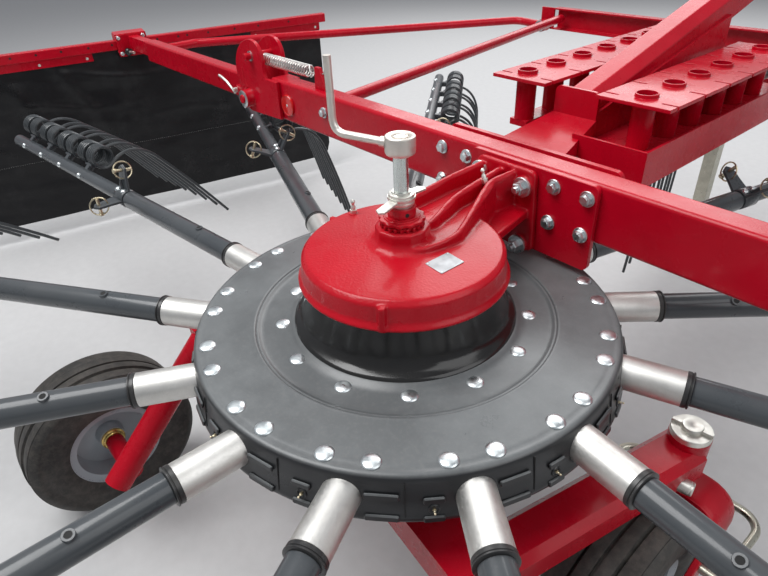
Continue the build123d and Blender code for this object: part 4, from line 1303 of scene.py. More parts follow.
@dataclass
class CastCover(Assembly):
    """Cast cover, remeshed so that ribs, boss and lid flow into each other."""

    radius: float = 0.184
    base_z: float = 0.086
    voxel: float = 0.0026
    rounds: int = 5
    ribs: tuple[tuple[Pair, ...], ...] = (
        (
            (0.042, -0.02), (0.056, -0.003), (0.066, 0.034), (0.063, 0.073),
            (0.034, 0.135), (-0.004, 0.21), (-0.019, 0.253), (-0.013, 0.312),
        ),
        ((0.006, 0.035), (0.0, 0.074), (-0.03, 0.162), (-0.045, 0.312)),
        ((-0.05, 0.005), (-0.067, 0.045), (-0.089, 0.108), (-0.096, 0.208), (-0.09, 0.312)),
    )

    def build(self, node: Obj) -> None:
        """Makes the cover from its solid and what the casting adds.

        Args:
            node: The cover's solid.
        """
        extra = Form()
        centre = self.mark(0, 0, 0)
        # Bead along the lower edge and the flare under the boss
        bead = [(self.radius + x, self.base_z + 0.004 + z) for x, z in circle(0.0035, 10)]
        extra.lathe(centre, bead, 160, loop=True)
        flare = mm((0, 130), (68, 143), (57, 147), (50.5, 153), (48, 160), (47.5, 178), (0, 178))
        extra.lathe(centre @ spin(11.0, "Z"), flare, 10)
        # Rounded crests of the three ribs
        for line in self.ribs:
            extra.sweep(self._crest(line), 0.0056, 12)
        # Parting nibs on the wall
        for degrees in (-52.0, 186.0, 128.0):
            place = self.plan.round_place(self.radius - 0.006, degrees, self.base_z - 0.0005)
            extra.prism(mm((0, -7), (10.5, -5.5), (10.5, 5.5), (0, 7)), place, 0.046, 0.0006)
        # Pads under the flange nuts
        for x, z in self.plan.flange_nuts:
            start = self.at(x, self.plan.face_y - 0.02, z)
            extra.rod(start, start + Vector((0, 0.012, 0)), 0.019, 28)
        piece = link_new("cast_cover", extra.mesh("cast_cover"))
        work = bmesh.new()
        work.from_mesh(node.data)
        bmesh.ops.remove_doubles(work, verts=work.verts, dist=1e-6)
        work.from_mesh(piece.data)
        work.to_mesh(piece.data)
        work.free()
        remesh = piece.modifiers.new("melt", "REMESH")
        remesh.mode = "VOXEL"
        remesh.voxel_size = self.voxel
        remesh.use_smooth_shade = True
        soften = piece.modifiers.new("cast", "SMOOTH")
        soften.factor = 0.5
        soften.iterations = self.rounds
        as_plain_mesh(piece)
        settle(piece, Look.CAST_RED, Body.FRAME)
        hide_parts("gear_cover")
        self._details()

    def _crest(self, line: tuple[Pair, ...]) -> list[Vector]:
        """Smooth crest line of a rib that rises towards the flange.

        Args:
            line: Points of the rib in plan.

        Returns:
            The crest's points.
        """
        ends = [line[0], *line, line[-1]]
        points = []
        for p, q, r, s in zip(ends, ends[1:], ends[2:], ends[3:]):
            for n in range(8):
                t = n / 8
                x, y = (self._between(*values, t) for values in zip(p, q, r, s))
                points.append(self.at(x, y, 0.1495 + 0.025 * (y + 0.03) / 0.34))
        return points

    def _between(self, a: float, b: float, c: float, d: float, t: float) -> float:
        """Smooth value at a share of the way from the second to the third of four values."""
        square, cube = (2 * a - 5 * b + 4 * c - d) * t * t, (3 * b - a - 3 * c + d) * t**3
        return 0.5 * (2 * b + (c - a) * t + square + cube)

    def _details(self) -> None:
        """Sets the grease nipples and the blank plate."""
        places = [self.mark(-0.155, 0.012, 0.139), self.mark(-0.03, 0.243, 0.168) @ spin(-18.0, "Y")]
        spread("cover_nipples", grease_nipple(), Look.PALE_ZINC, Body.FRAME, places, 1.25)
        base = Form()
        base.lathe(self.mark(-0.155, 0.012, 0.135), mm((0, 0), (11, 0), (9.5, 4.5), (0, 4.5)), 24)
        base.finish("nipple_boss", Look.CAST_RED, Body.FRAME)
        plate = Form()
        place = self.mark(0.1, 0.002, 0.1418) @ spin(90.0, "Z") @ spin(3.5, "X")
        plate.prism(rounded(0.052, 0.038, 0.0015), place, 0.0011, 0.0002)
        plate.finish("blank_plate", Look.PLATE, Body.FRAME)
        corners = [place @ shift(x, y, 0.0011) for x in (-0.023, 0.023) for y in (-0.016, 0.016)]
        spread("plate_rivets", dome_bolt(0.0016, 0.0008), Look.ZINC, Body.FRAME, corners)


@dataclass
class SpindleGroup(Assembly):
    """Height spindle with castle nut, wing lock, knob and crank."""

    crank_r: float = 0.0066

    def build(self) -> None:
        """Makes every piece on top of the cover."""
        self._red_parts()
        self._pale_parts()
        self._knob()
        self._crank()

    def _lathe(self, form: Form, profile: Outline, sides: int = 48) -> None:
        """Turns a profile about the spindle's axis, with heights above the disc's top."""
        form.lathe(self.mark(0, 0, 0), profile, sides)

    def _star(self, outer: float, inner: float, teeth: int) -> Outline:
        """Outline of a toothed ring.

        Args:
            outer: Radius of the teeth.
            inner: Radius between them.
            teeth: Number of teeth.

        Returns:
            The outline, counterclockwise.
        """
        outline = []
        for n in range(teeth):
            for share, radius in ((0.0, inner), (0.2, outer), (0.5, outer), (0.7, inner)):
                angle = math.tau * (n + share) / teeth
                outline.append((radius * math.cos(angle), radius * math.sin(angle)))
        return outline

    def _red_parts(self) -> None:
        """Makes the toothed rings and the collar, and dark discs of painted shade for the holes of its set
        screws and the knob's side hole.
        """
        form = Form()
        form.prism(self._star(0.0385, 0.0345, 22), self.mark(0, 0, 0.1785), 0.0065, 0.0008)
        self._lathe(form, disc(0.033, 0.152, 0.188))
        form.prism(self._star(0.0398, 0.037, 12), self.mark(0, 0, 0.187), 0.0055, 0.0008)
        self._lathe(form, mm((0, 190), (31.5, 190), (31.5, 193.5), (30.5, 194.5), (0, 194.5)))
        self._lathe(form, mm((0, 193), (28.5, 193), (28.5, 195.8), (0, 196)))
        self._lathe(form, mm((0, 190), (23.5, 190), (24.2, 197), (24.2, 210.5), (23.2, 212.5), (0, 212.5)))
        form.finish("spindle_collar", Look.CAST_RED, Body.FRAME)
        # Dark discs of painted shade in the holes of the set screws and the knob's side hole
        screws = Form()
        for degrees in (-128.0, -20.0, 100.0):
            place = self.plan.round_place(0.0239, degrees, 0.2035) @ X_OUT
            screws.lathe(place, disc(0.0034, 0.0, 0.0007), 16)
        place = self.plan.round_place(0.0247, -128.0, 0.3165) @ X_OUT
        screws.lathe(place, disc(0.0033, 0.0, 0.0007), 18)
        screws.finish("spindle_holes", Look.PAINTED_SHADE, Body.FRAME)

    def _pale_parts(self) -> None:
        """Makes the rod, the rings and the wing lock."""
        rod = Form()
        self._lathe(rod, disc(0.0125, 0.15, 0.302))
        rod.finish("spindle_rod", Look.ROD, Body.FRAME)
        form = Form()
        self._lathe(form, disc(0.0175, 0.211, 0.2175))
        self._lathe(form, mm((0, 217), (21, 217), (21.5, 218), (21.5, 221.5), (20.8, 222.2), (0, 222.2)))
        self._lathe(form, mm((0, 221), (21.5, 222.5), (22.5, 223.5), (22.5, 226.2), (0, 226.2)))
        # Wing plate with two bent wings
        turn = self.mark(0, 0, 0.226) @ spin(-79.0, "Z")
        for side, reach in ((1, 0.056), (-1, 0.058)):
            wing = [(0.014, -0.0085), (reach, -0.0095), (reach + 0.006, 0.0), (reach, 0.009), (0.014, 0.0085)]
            lift = spin(7.0 * side, "Y")
            outline = wing if side > 0 else [(-x, y) for x, y in reversed(wing)]
            form.prism(outline, turn @ lift, 0.0042, 0.0007)
        self._lathe(form, mm((0, 225.8), (23.5, 225.8), (24.2, 227), (23.8, 230.5), (0, 230.5)))
        wave = [[], [], []]
        for n in range(48):
            angle = math.tau * n / 48
            height = 0.235 + 0.0012 * math.sin(3 * angle)
            levels = ((0.0222, 0.23), (0.0222, height), (0.0145, height + 0.0008))
            for ring, (radius, level) in zip(wave, levels):
                ring.append(self.at(radius * math.cos(angle), radius * math.sin(angle), level))
        form.skin(wave)
        self._lathe(form, mm((0, 234.5), (16.5, 234.5), (16, 239), (0, 239)))
        form.finish("wing_lock", Look.PALE_ZINC, Body.FRAME)

    def _knob(self) -> None:
        """Makes the knob with its recess and its turned inner disc."""
        form = Form()
        profile = mm(
            (0, 300), (18, 300), (23.5, 303), (24.7, 306), (25, 308.5), (25, 328.5),
            (24.3, 331), (22.5, 332), (16.5, 331.4), (14.8, 330.5), (14.2, 328.5),
            (12.8, 328.5), (12.2, 331.2), (10.5, 331.6), (9.5, 330.4), (0, 330.2),
        )
        self._lathe(form, profile, 64)
        form.finish("spindle_knob", Look.KNOB, Body.FRAME, 30.0)

    def _crank(self) -> None:
        """Bends the crank out of round bar."""
        level, bend = 0.316, 0.026
        corner, start = Vector((-0.128, -0.036, level)), Vector((-0.022, -0.0062, level))
        inward = (start - corner).normalized()
        path = [start, corner + inward * (bend + 0.01)]
        first, last = corner + inward * bend, corner + Vector((0, 0, bend))
        path += [*curve(first, corner, last, 10), Vector((corner.x, corner.y, 0.4395))]
        form = Form()
        form.sweep([self.at(*p) for p in path], self.crank_r, 24)
        form.rod(self.at(-0.0235, -0.0066, level), self.at(-0.036, -0.0101, level), 0.0086, 24)
        piece = form.finish("crank_bar", Look.KNOB, Body.FRAME)
        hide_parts("crank", "spindle")


# Beams and hinge


@dataclass
class BeamHardware(Assembly):
    """Bolts, nuts, studs and the reflector on the beams and plates."""

    plate_bolts: tuple[Pair, ...] = ((0.074, 0.165), (0.148, 0.164), (0.07, 0.088), (0.145, 0.088))
    beam_bolts: tuple[Pair, ...] = ((-0.2375, 0.163), (-0.1635, 0.16), (-0.2375, 0.087))

    def build(self) -> None:
        """Sets all of it."""
        plate = self._facing_rear(self.plate_bolts, self.plan.face_y, 17.0, 8.0)
        beam = self._facing_rear(self.beam_bolts, self.plan.beam_y, 23.0, 0.0)
        spread("plate_bolts", hex_bolt(0.0195, 0.0095, 0.0155), Look.ZINC, Body.FRAME, plate + beam)
        flange = self._facing_rear(self.plan.flange_nuts, self.plan.face_y - 0.02, 31.0, 12.0)
        spread("flange_nuts", hex_bolt(0.0225, 0.0155, 0.0205, 0.006), Look.ZINC, Body.FRAME, flange)
        behind = [self.mark(x, 0.407, z) @ spin(-90.0, "X") for x, z in (*self.plate_bolts, *self.beam_bolts)]
        spread("rear_nuts", hex_bolt(0.0185, 0.014, 0.0145, 0.008), Look.ZINC, Body.FRAME, behind)
        self._reflector()

    def _facing_rear(self, spots: tuple[Pair, ...], y: float, step: float, first: float) -> list[Matrix]:
        """Places of bolts that face the rear, each turned on a little further than the last.

        Args:
            spots: Across and height of each bolt.
            y: The face they stand on.
            step: Turn from one to the next, in degrees.
            first: Turn of the first one.

        Returns:
            The places.
        """
        return [self.mark(x, y, z) @ TO_REAR @ spin(step * n + first, "Z") for n, (x, z) in enumerate(spots)]

    def _reflector(self) -> None:
        """Makes the round reflector with its centre screw and ribs."""
        form = Form()
        place = self.mark(-0.893, self.plan.beam_y, 0.126) @ TO_REAR
        profile = mm(
            (0, -1), (31.8, -1), (31.8, 4), (30.5, 6.2), (28.5, 6.6), (27.5, 5.6), (6, 6.4), (5, 5), (0, 5)
        )
        form.lathe(place, profile, 48)
        form.finish("reflector", Look.REFLEX, Body.FRAME, 30.0)
        screw = Form()
        screw.join(dome_bolt(0.0036, 0.0018), place @ shift(0, 0, 0.005))
        screw.finish("reflector_screw", Look.ZINC, Body.FRAME)


@dataclass
class HingeSide(Assembly):
    """Fold hinge with its washers, relief spring, hooks and locking pin."""

    spring_pin: Pair = (-1.061, 0.247)
    spring_from: float = -1.045
    spring_to: float = -0.8
    spring_z: float = 0.234
    spring_r: float = 0.0158
    wire: float = 0.0021
    turns: float = 20.0

    def build(self) -> None:
        """Makes every piece of the hinge."""
        self._pins()
        self._spring()
        self._lock()

    def _axes(self) -> Outline:
        """Side view places of the hinge's pin and the spring's pin."""
        return [(self.plan.hinge_x, self.plan.hinge_z), self.spring_pin]

    def _pins(self) -> None:
        """Makes the bosses, pins and washers."""
        hinge, spring = (self.mark(x, self.plan.face_y, z) @ TO_REAR for x, z in self._axes())
        red = Form()
        red.lathe(hinge, mm((0, -4), (32, -4), (27.5, 3), (27.5, 24.5), (0, 24.5)), 40)
        red.lathe(hinge, mm((0, 20), (13.5, 20), (13.5, 31), (11.5, 33), (7, 32.5), (0, 31)), 28)
        red.lathe(spring, mm((0, -4), (10.5, -4), (10.5, 21.5), (9, 23), (0, 22.5)), 24)
        weld = mm((-1129, 202), (-1127.5, 185), (-1124, 168), (-1119, 155), (-1112, 144))
        red.sweep([self.at(x, 0.3225, z) for x, z in weld], 0.0034, 10)
        for side in (-1, 1):
            bead = []
            for n in range(11):
                angle = math.radians(90.0 + side * (30.0 + 10.0 * n))
                bead.append(hinge @ Vector((0.033 * math.cos(angle), 0.033 * math.sin(angle), 0.0)))
            red.sweep(bead, 0.0026, 8)
        red.finish("hinge_pins", Look.RED, Body.FRAME)
        self._plates()
        pale = Form()
        ring = mm((14.5, 0), (26.2, 0), (26.8, 0.8), (26.8, 2.8), (26, 3.4), (14.5, 3.4))
        pale.lathe(hinge @ shift(0, 0, 0.0245), ring, 44, loop=True)
        ring = mm((10.4, 0), (15.2, 0), (15.2, 2.6), (10.4, 2.6))
        pale.lathe(spring @ shift(0, 0, 0.001), ring, 32, loop=True)
        back = spin(180.0, "X")
        for place, radius in ((hinge, 0.0262), (spring, 0.0152)):
            far = place @ shift(0, 0, -0.0842) @ back
            pale.lathe(far, disc(radius, -0.001, 0.0028), 36)
        pale.finish("hinge_washers", Look.ZINC, Body.FRAME)

    def _plates(self) -> None:
        """Makes the two hinge plates with evenly rounded lobes."""
        left = self.plan.frame_x - 0.9
        corners = [(0.05, 0.077), (0.05, 0.189)]
        lobe = mm(
            (-14, 189), (-22, 207), (-20, 242), (-26, 268), (-45, 291), (-89, 298),
            (-145, 277), (-185, 235), (-198, 180), (-176, 105), (-158, 77), (-128, 69),
        )
        for _ in range(3):
            cut = [lobe[0]]
            for (x0, z0), (x1, z1) in zip(lobe, lobe[1:]):
                cut += [
                    (x0 * 0.75 + x1 * 0.25, z0 * 0.75 + z1 * 0.25),
                    (x0 * 0.25 + x1 * 0.75, z0 * 0.25 + z1 * 0.75),
                ]
            lobe = [*cut, lobe[-1]]
        form = Form()
        for y in (self.plan.beam_y - 0.0007, 0.4077):
            form.prism([*corners, *lobe], self.mark(left, y, 0.0) @ TO_REAR, 0.012, 0.0012)
        for (x, z), radius, sides in zip(self._axes(), (0.0166, 0.01), (48, 24)):
            form.rod(self.at(x, 0.311, z), self.at(x, 0.419, z), radius, sides)
        piece = form.finish("hinge_lobes", Look.RED, Body.FRAME, 30.0)
        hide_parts("hinge_plates")

    def _spring(self) -> None:
        """Winds the relief spring and bends its hooks."""
        y = self.plan.beam_middle_y
        place = self.mark(self.spring_from, y, self.spring_z) @ X_OUT
        length = self.spring_to - self.spring_from
        sizes = {"Turns": self.turns, "Radius": self.spring_r, "Length": length, "Wire": self.wire}
        piece = wind_coil("relief_spring", sizes, place, Look.SPRING, Body.FRAME)
        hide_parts("spring")
        hooks = Form()
        left = [
            (self.spring_from + 0.001, 0.0, self.spring_r), (self.spring_from - 0.006, 0.0, 0.012),
            (self.spring_from - 0.012, 0.0, 0.006), (-1.059, 0.0, 0.002),
        ]
        hooks.sweep([self.at(x, y + dy, self.spring_z + dz) for x, dy, dz in left], self.wire, 10)
        right = [
            (self.spring_to, 0.0, self.spring_r), (self.spring_to + 0.005, -0.004, 0.008),
            (self.spring_to + 0.01, -0.006, 0.0), (self.spring_to + 0.03, -0.004, -0.001),
            (self.spring_to + 0.056, 0.0, 0.0), (self.spring_to + 0.066, 0.002, 0.005),
            (self.spring_to + 0.067, 0.004, 0.011),
        ]
        hooks.sweep([self.at(x, y + dy, self.spring_z + dz) for x, dy, dz in right], self.wire * 1.15, 10)
        hooks.finish("spring_hooks", Look.SPRING, Body.FRAME)

    def _lock(self) -> None:
        """Makes the bent locking pin and its boss on a lug of the front plate."""
        boss = Form()
        place = self.mark(-1.192, 0.3342, 0.124) @ TO_REAR
        boss.lathe(place, mm((0, 0), (14, 0), (12.5, 6), (12.5, 10), (11, 12), (0, 12)), 28)
        boss.box(self.at(-1.192, 0.324, 0.113), self.at(-1.15, 0.334, 0.135), 0.001)
        boss.finish("lock_boss", Look.RED, Body.FRAME)
        pin = Form()
        pin.rod(self.at(-1.194, 0.326, 0.122), self.at(-1.194, 0.31, 0.122), 0.0075, 18)
        path = [
            (-1.19, 0.314, 0.112), (-1.2, 0.312, 0.122), (-1.212, 0.31, 0.133),
            (-1.23, 0.309, 0.144), (-1.252, 0.308, 0.152), (-1.276, 0.307, 0.158),
        ]
        pin.sweep([self.at(*p) for p in path], 0.0042, 12)
        pin.finish("lock_pin", Look.PALE_ZINC, Body.FRAME)


# Curtain


@dataclass
class CurtainSide(Assembly):
    """Rail fittings and the hanging sheet."""

    rear: Pair = (-2.469, -0.64)
    front: Pair = (-2.068, 1.3)
    rail_z: float = 0.131
    rail_half: float = 0.02
    low: float = 0.085
    hole_at: tuple[float, ...] = (
        0.08, 0.13, 0.2, 0.27, 0.32, 0.37, 0.426, 0.476, 0.576, 0.624, 0.645, 0.695, 0.76, 0.82, 0.9
    )
    flats: tuple[Pair, ...] = ((0.02, 0.13), (0.21, 0.43), (0.55, 0.66), (0.8, 0.985))
    columns: int = 280
    rows: int = 90
    rear_corner: tuple[Pair, ...] = ((0.0, 0.23), (0.03, 0.11), (0.095, 0.032), (0.19, 0.0))
    front_corner: tuple[Pair, ...] = ((0.0, 0.07), (0.016, 0.018), (0.06, 0.0))
    seam_down: float = 0.43
    seam_step: float = 0.0095
    seam_margin: float = 0.02
    stitch_line: tuple[Pair, ...] = ((-0.0022, 0), (-0.001, 0.0006), (0.001, 0.0006), (0.0022, 0))

    def along(self) -> Vector:
        """Direction of the rail, towards the front."""
        return Vector((self.front[0] - self.rear[0], self.front[1] - self.rear[1], 0.0)).normalized()

    def near(self) -> Vector:
        """Direction that points from the rail to the machine."""
        way = self.along()
        return Vector((way.y, -way.x, 0.0))

    def spot(self, share: float, out: float, z: float) -> Vector:
        """Point beside the rail.

        Args:
            share: Share of the rail's length from its rear end.
            out: Distance towards the machine.
            z: Height above the disc's top.

        Returns:
            The point in the row frame.
        """
        x = self.rear[0] + (self.front[0] - self.rear[0]) * share
        y = self.rear[1] + (self.front[1] - self.rear[1]) * share
        return self.at(x, y, z) + self.near() * out

    def facing(self, point: Vector) -> Matrix:
        """Place at a point with local Z towards the machine and local X along the rail."""
        way, out = self.along(), self.near()
        up = out.cross(way)
        return Matrix.Translation(point) @ Matrix((way, up, out)).transposed().to_4x4()

    def build(self) -> None:
        """Makes the sheet, its strips and every fitting of the rail."""
        self._strips()
        self._rail_fittings()
        self._sheet()

    def _strips(self) -> None:
        """Makes the strips that clamp the sheet and their rivets."""
        form, rivets = Form(), []
        length = math.dist(self.rear, self.front)
        for start, end in self.flats:
            middle, half = (start + end) / 2, (end - start) / 2 * length
            point = self.spot(middle, 0.0045, self.rail_z - self.rail_half - 0.016)
            outline = [(half, -0.018), (half, 0.022), (-half, 0.022), (-half, -0.018)]
            form.prism(outline, self.facing(point), 0.003, 0.0005)
            count = max(2, round((end - start) * length / 0.16))
            inner = [start + (end - start) * ((n + 0.5) / count) for n in range(1, count - 1)]
            for share in (start + 0.012, *inner, end - 0.012):
                rivets.append(self.facing(self.spot(share, 0.0075, self.rail_z - self.rail_half - 0.02)))
        form.finish("rail_strips", Look.RED, Body.RAIL)
        spread("strip_rivets", dome_bolt(0.0062, 0.0034), Look.PALE_ZINC, Body.RAIL, rivets)

    def _rail_fittings(self) -> None:
        """Sets dark discs of painted shade in the rail's holes, the clamp's bolts and plates, and the locking
        knob.
        """
        # Dark discs of painted shade in the rail's holes
        hole = Form()
        hole.lathe(Matrix(), disc(0.0048, -0.0002, 0.0003), 16)
        holes = [self.facing(self.spot(share, self.rail_half, self.rail_z + 0.004)) for share in self.hole_at]
        spread("rail_holes", hole, Look.PAINTED_SHADE, Body.RAIL, holes)
        meet = (self.plan.beam_middle_y - self.rear[1]) / (self.front[1] - self.rear[1])
        clamp = Form()
        for level, depth in ((0.176, 0.007), (0.104, 0.006)):
            place = self.facing(self.spot(meet, 0.0, level)) @ TO_REAR @ shift(0, 0, -depth / 2)
            clamp.prism(rounded(0.132, 0.088, 0.006), place, depth, 0.001)
        side = self.facing(self.spot(meet, 0.0395, self.rail_z))
        clamp.prism(rounded(0.128, 0.092, 0.008), side, 0.006, 0.001)
        clamp.rod(self.spot(meet, 0.04, 0.1), self.spot(meet, 0.068, 0.1), 0.0105, 20)
        clamp.finish("rail_clamp", Look.RED, Body.RAIL)
        corners = [(x, z) for z in (0.164, 0.098) for x in (-0.052, 0.052)]
        bolts = [self.facing(self.spot(meet, 0.0455, z) + self.along() * x) for x, z in corners]
        spread("clamp_bolts", hex_bolt(0.013, 0.006, 0.0085), Look.ZINC, Body.RAIL, bolts)
        knob, bolt = Form(), Form()
        knob.lathe(self.mark(-2.203, 0.337, 0.106) @ TO_REAR, self._ball(0.017), 28)
        knob.finish("clamp_knob", Look.NECK, Body.RAIL)
        bolt.rod(self.at(-2.19, 0.328, 0.106), self.at(-2.137, 0.328, 0.111), 0.006, 18)
        bolt.finish("clamp_knob_bolt", Look.PALE_ZINC, Body.RAIL)

    def _ball(self, radius: float) -> Outline:
        """Profile of a knob with a flat foot."""
        points = [(0.0, -0.004), (radius * 0.7, -0.004), (radius * 0.72, 0.0)]
        for n in range(1, 9):
            angle = math.radians(-40.0 + 130.0 * n / 8)
            points.append((radius * math.cos(angle), radius * 0.8 + radius * 0.8 * math.sin(angle)))
        points[-1] = (0.0, radius * 1.6)
        return points

    def _floor_line(self, x: float, length: float) -> float:
        """Lower edge of the sheet above its lowest line.

        Args:
            x: Distance from the rear edge.
            length: Length of the sheet.

        Returns:
            The height of the edge there.
        """
        for corner, distance in ((self.rear_corner, x), (self.front_corner, length - x)):
            for (x0, h0), (x1, h1) in zip(corner, corner[1:]):
                if x0 <= distance < x1:
                    return h0 + (h1 - h0) * (distance - x0) / (x1 - x0)
        return 0.0

    def _sheet(self) -> None:
        """Hangs the sheet with its creases, and stitches its seam."""
        span = math.dist(self.rear, self.front)
        length = span * 0.965
        top = self.plan.disc_top + self.rail_z - self.rail_half - 0.0003
        points, faces = [], []
        way, out = self.along(), self.near()
        origin = self.spot(0.02, 0.0, 0.0)
        for row in range(self.rows + 1):
            for column in range(self.columns + 1):
                x = length * column / self.columns
                low = self.low + self._floor_line(x, length)
                drop = (row / self.rows) ** 0.98
                z = top + (low - top) * drop
                point = origin + way * x
                points.append(Vector((point.x, point.y, z)) + out * self._fold(x, top - z))
        for row in range(self.rows):
            for column in range(self.columns):
                a = row * (self.columns + 1) + column
                faces.append((a, a + self.columns + 1, a + self.columns + 2, a + 1))
        mesh = bpy.data.meshes.new("curtain_sheet")
        mesh.from_pydata([tuple(p) for p in points], [], faces)
        piece = link_new("curtain_sheet", mesh)
        work = bmesh.new()
        work.from_mesh(mesh)
        smooth_by_angle(work, 80.0)
        work.to_mesh(mesh)
        work.free()
        thick = piece.modifiers.new("thickness", "SOLIDIFY")
        thick.thickness = 0.0012
        thick.offset = 0.0
        as_plain_mesh(piece)
        settle(piece, Look.CLOTH, Body.RAIL)
        height = top - self.low
        area = length * height
        for corner in (self.rear_corner, self.front_corner):
            for (x0, h0), (x1, h1) in zip(corner, corner[1:]):
                area -= (h0 + h1) / 2 * (x1 - x0)
        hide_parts("curtain")
        self._stitches(origin, length, top)

    def _fold(self, x: float, down: float) -> float:
        """How far the sheet stands out at a place.

        Args:
            x: Distance from the rear edge.
            down: Distance below the rail.

        Returns:
            Distance towards the machine.
        """
        deep = min(1.0, down / 0.55)
        swell = 0.006 * math.sin(5.1 * x + 0.6) + 0.003 * math.sin(11.3 * x + 2.0)
        pull = 0.0
        for start, lean, width, size in (
            (0.42, 0.35, 0.035, 0.0055),
            (0.63, 0.5, 0.03, 0.006),
            (0.95, -0.4, 0.04, 0.005),
            (1.18, 0.55, 0.028, 0.0055),
            (1.3, -0.25, 0.05, 0.006),
            (1.55, 0.6, 0.03, 0.005),
            (1.74, -0.5, 0.03, 0.0045),
        ):
            reach = (x - start - lean * down) / width
            fade = math.exp(-(((down - 0.16) / 0.17) ** 2))
            pull += size * math.exp(-reach * reach) * fade
        for level, size, centre in (
            (0.09, 0.0045, 0.9), (0.14, 0.0035, 1.45), (0.21, 0.004, 0.6), (0.33, 0.003, 1.2)
        ):
            wobble = level + 0.03 * math.sin(7.0 * x + 9.0 * level)
            above, beside = (down - wobble) / 0.014, (x - centre) / 0.2
            pull += size * math.exp(-above * above - beside * beside)
        return swell * deep + pull * min(1.0, down / 0.03)

    def _stitches(self, origin: Vector, length: float, top: float) -> None:
        """Sews the dotted seam low on the sheet.

        Args:
            origin: Rear end of the sheet's line.
            length: Length of the sheet.
            top: Height of the sheet's upper edge.
        """
        stitch = Form()
        stitch.sweep([Vector((x, 0, z)) for x, z in self.stitch_line], 0.0004, 5)
        run = length - 2 * self.seam_margin
        count = int(run / self.seam_step)
        places = []
        for n in range(count):
            x = self.seam_margin + run * n / count
            point = origin + self.along() * x
            point.z = top - self.seam_down
            places.append(self.facing(point + self.near() * (self._fold(x, self.seam_down) + 0.0007)))
        spread("sheet_seam", stitch, Look.THREAD, Body.RAIL, places)


# Undercarriage


@dataclass(frozen=True)
class WheelSpec:
    """One wheel: its nodes, its body, its place and which side faces out."""

    name: str
    body: Body
    x: float
    y: float
    outward: int


@dataclass
class Wheels(Assembly):
    """Tyres with grooved treads, and stepped rims with hubs and bolts."""

    radius: float = 0.205
    width: float = 0.15

    def build(self, specs: list[WheelSpec]) -> None:
        """Makes every wheel."""
        for spec in specs:
            self._wheel(spec)

    def _tyre_profile(self) -> Outline:
        """Radius and width of the tyre's section, from one bead to the other."""
        half = self.width / 2
        wall = [
            (0.106, -0.058), (0.1065, -0.0635), (0.112, -0.067), (0.122, -0.071),
            (0.135, -half), (0.152, -half), (0.162, -0.0742), (0.174, -0.072),
            (0.178, -0.0735), (0.183, -0.0725), (0.193, -0.066), (0.1985, -0.06),
        ]
        profile = list(wall)
        for middle, span in ((-0.0455, 0.014), (-0.0145, 0.0115), (0.0145, 0.0115), (0.0455, 0.014)):
            crown = self.radius - 0.0055 * (abs(middle) / 0.05) ** 2
            edge = [(crown - 0.0065, span + 0.0008), (crown - 0.0004, span - 0.0004), (crown, span - 0.002)]
            profile += [(r, middle - across) for r, across in edge]
            profile += [(r, middle + across) for r, across in reversed(edge)]
        return profile + mirrored(wall)

    def _wheel(self, spec: WheelSpec) -> None:
        """Makes one wheel.

        Args:
            spec: The wheel.
        """
        centre = self.plan.ground(spec.x, spec.y, self.plan.axle_z)
        place = Matrix.Translation(centre) @ spin(90.0 * spec.outward, "Y")
        tyre, rim, hub = Form(), Form(), Form()
        tyre.lathe(place, self._tyre_profile(), 96, loop=True)
        tyre_piece = tyre.finish(f"{spec.name}_tyre_skin", Look.TYRE, spec.body, 34.0)
        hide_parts(f"tyre_{spec.name}")
        rim.lathe(place, self._rim_profile(), 72, loop=True)
        rim_piece = rim.finish(f"{spec.name}_rim_shell", Look.RIM_GREY, spec.body, 32.0)
        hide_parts(f"rim_{spec.name}")
        turns = [Matrix.Rotation(math.tau * n / 5 + 0.3, 4, "Z") for n in range(5)]
        bolts = [place @ turn @ shift(0.06, 0, 0.0085) for turn in turns]
        spread(f"{spec.name}_wheel_bolts", hex_bolt(0.016, 0.009, 0.0105), Look.YELLOW_ZINC, spec.body, bolts)
        cap = mm((14.5, 33), (24.5, 33), (24.5, 41), (22.5, 43.5), (14.5, 43.5))
        hub.lathe(place, cap, 32, loop=True)
        nut = mm(
            (16.5, -47.5), (24, -47.5), (26, -45.5), (26, -40.5),
            (27.5, -39.5), (29, -38.5), (29, -33.2), (16.5, -33.2),
        )
        hub.lathe(place, nut, 32, loop=True)
        hub.finish(f"{spec.name}_hub_ring", Look.GOLD, spec.body)

    def _rim_profile(self) -> Outline:
        """Radius and width of the rim's section, around from the bore."""
        seat = mm((103.5, -61.5), (109.5, -65.5), (111.5, -64), (107.5, -58.5), (98.5, -52))
        inner = mm((14.5, -33), (31, -33), (34, -4), (50, 0), (88, -5), (92.5, -58))
        outer = mm(
            (93.5, 57.5), (91.5, 50), (89.5, 14), (84, 8.5),
            (60, 7.5), (50, 11), (36, 12), (32, 33), (14.5, 33),
        )
        return [*inner, *seat, (0.0965, -0.02), (0.0965, 0.03), *mirrored(seat), *outer]


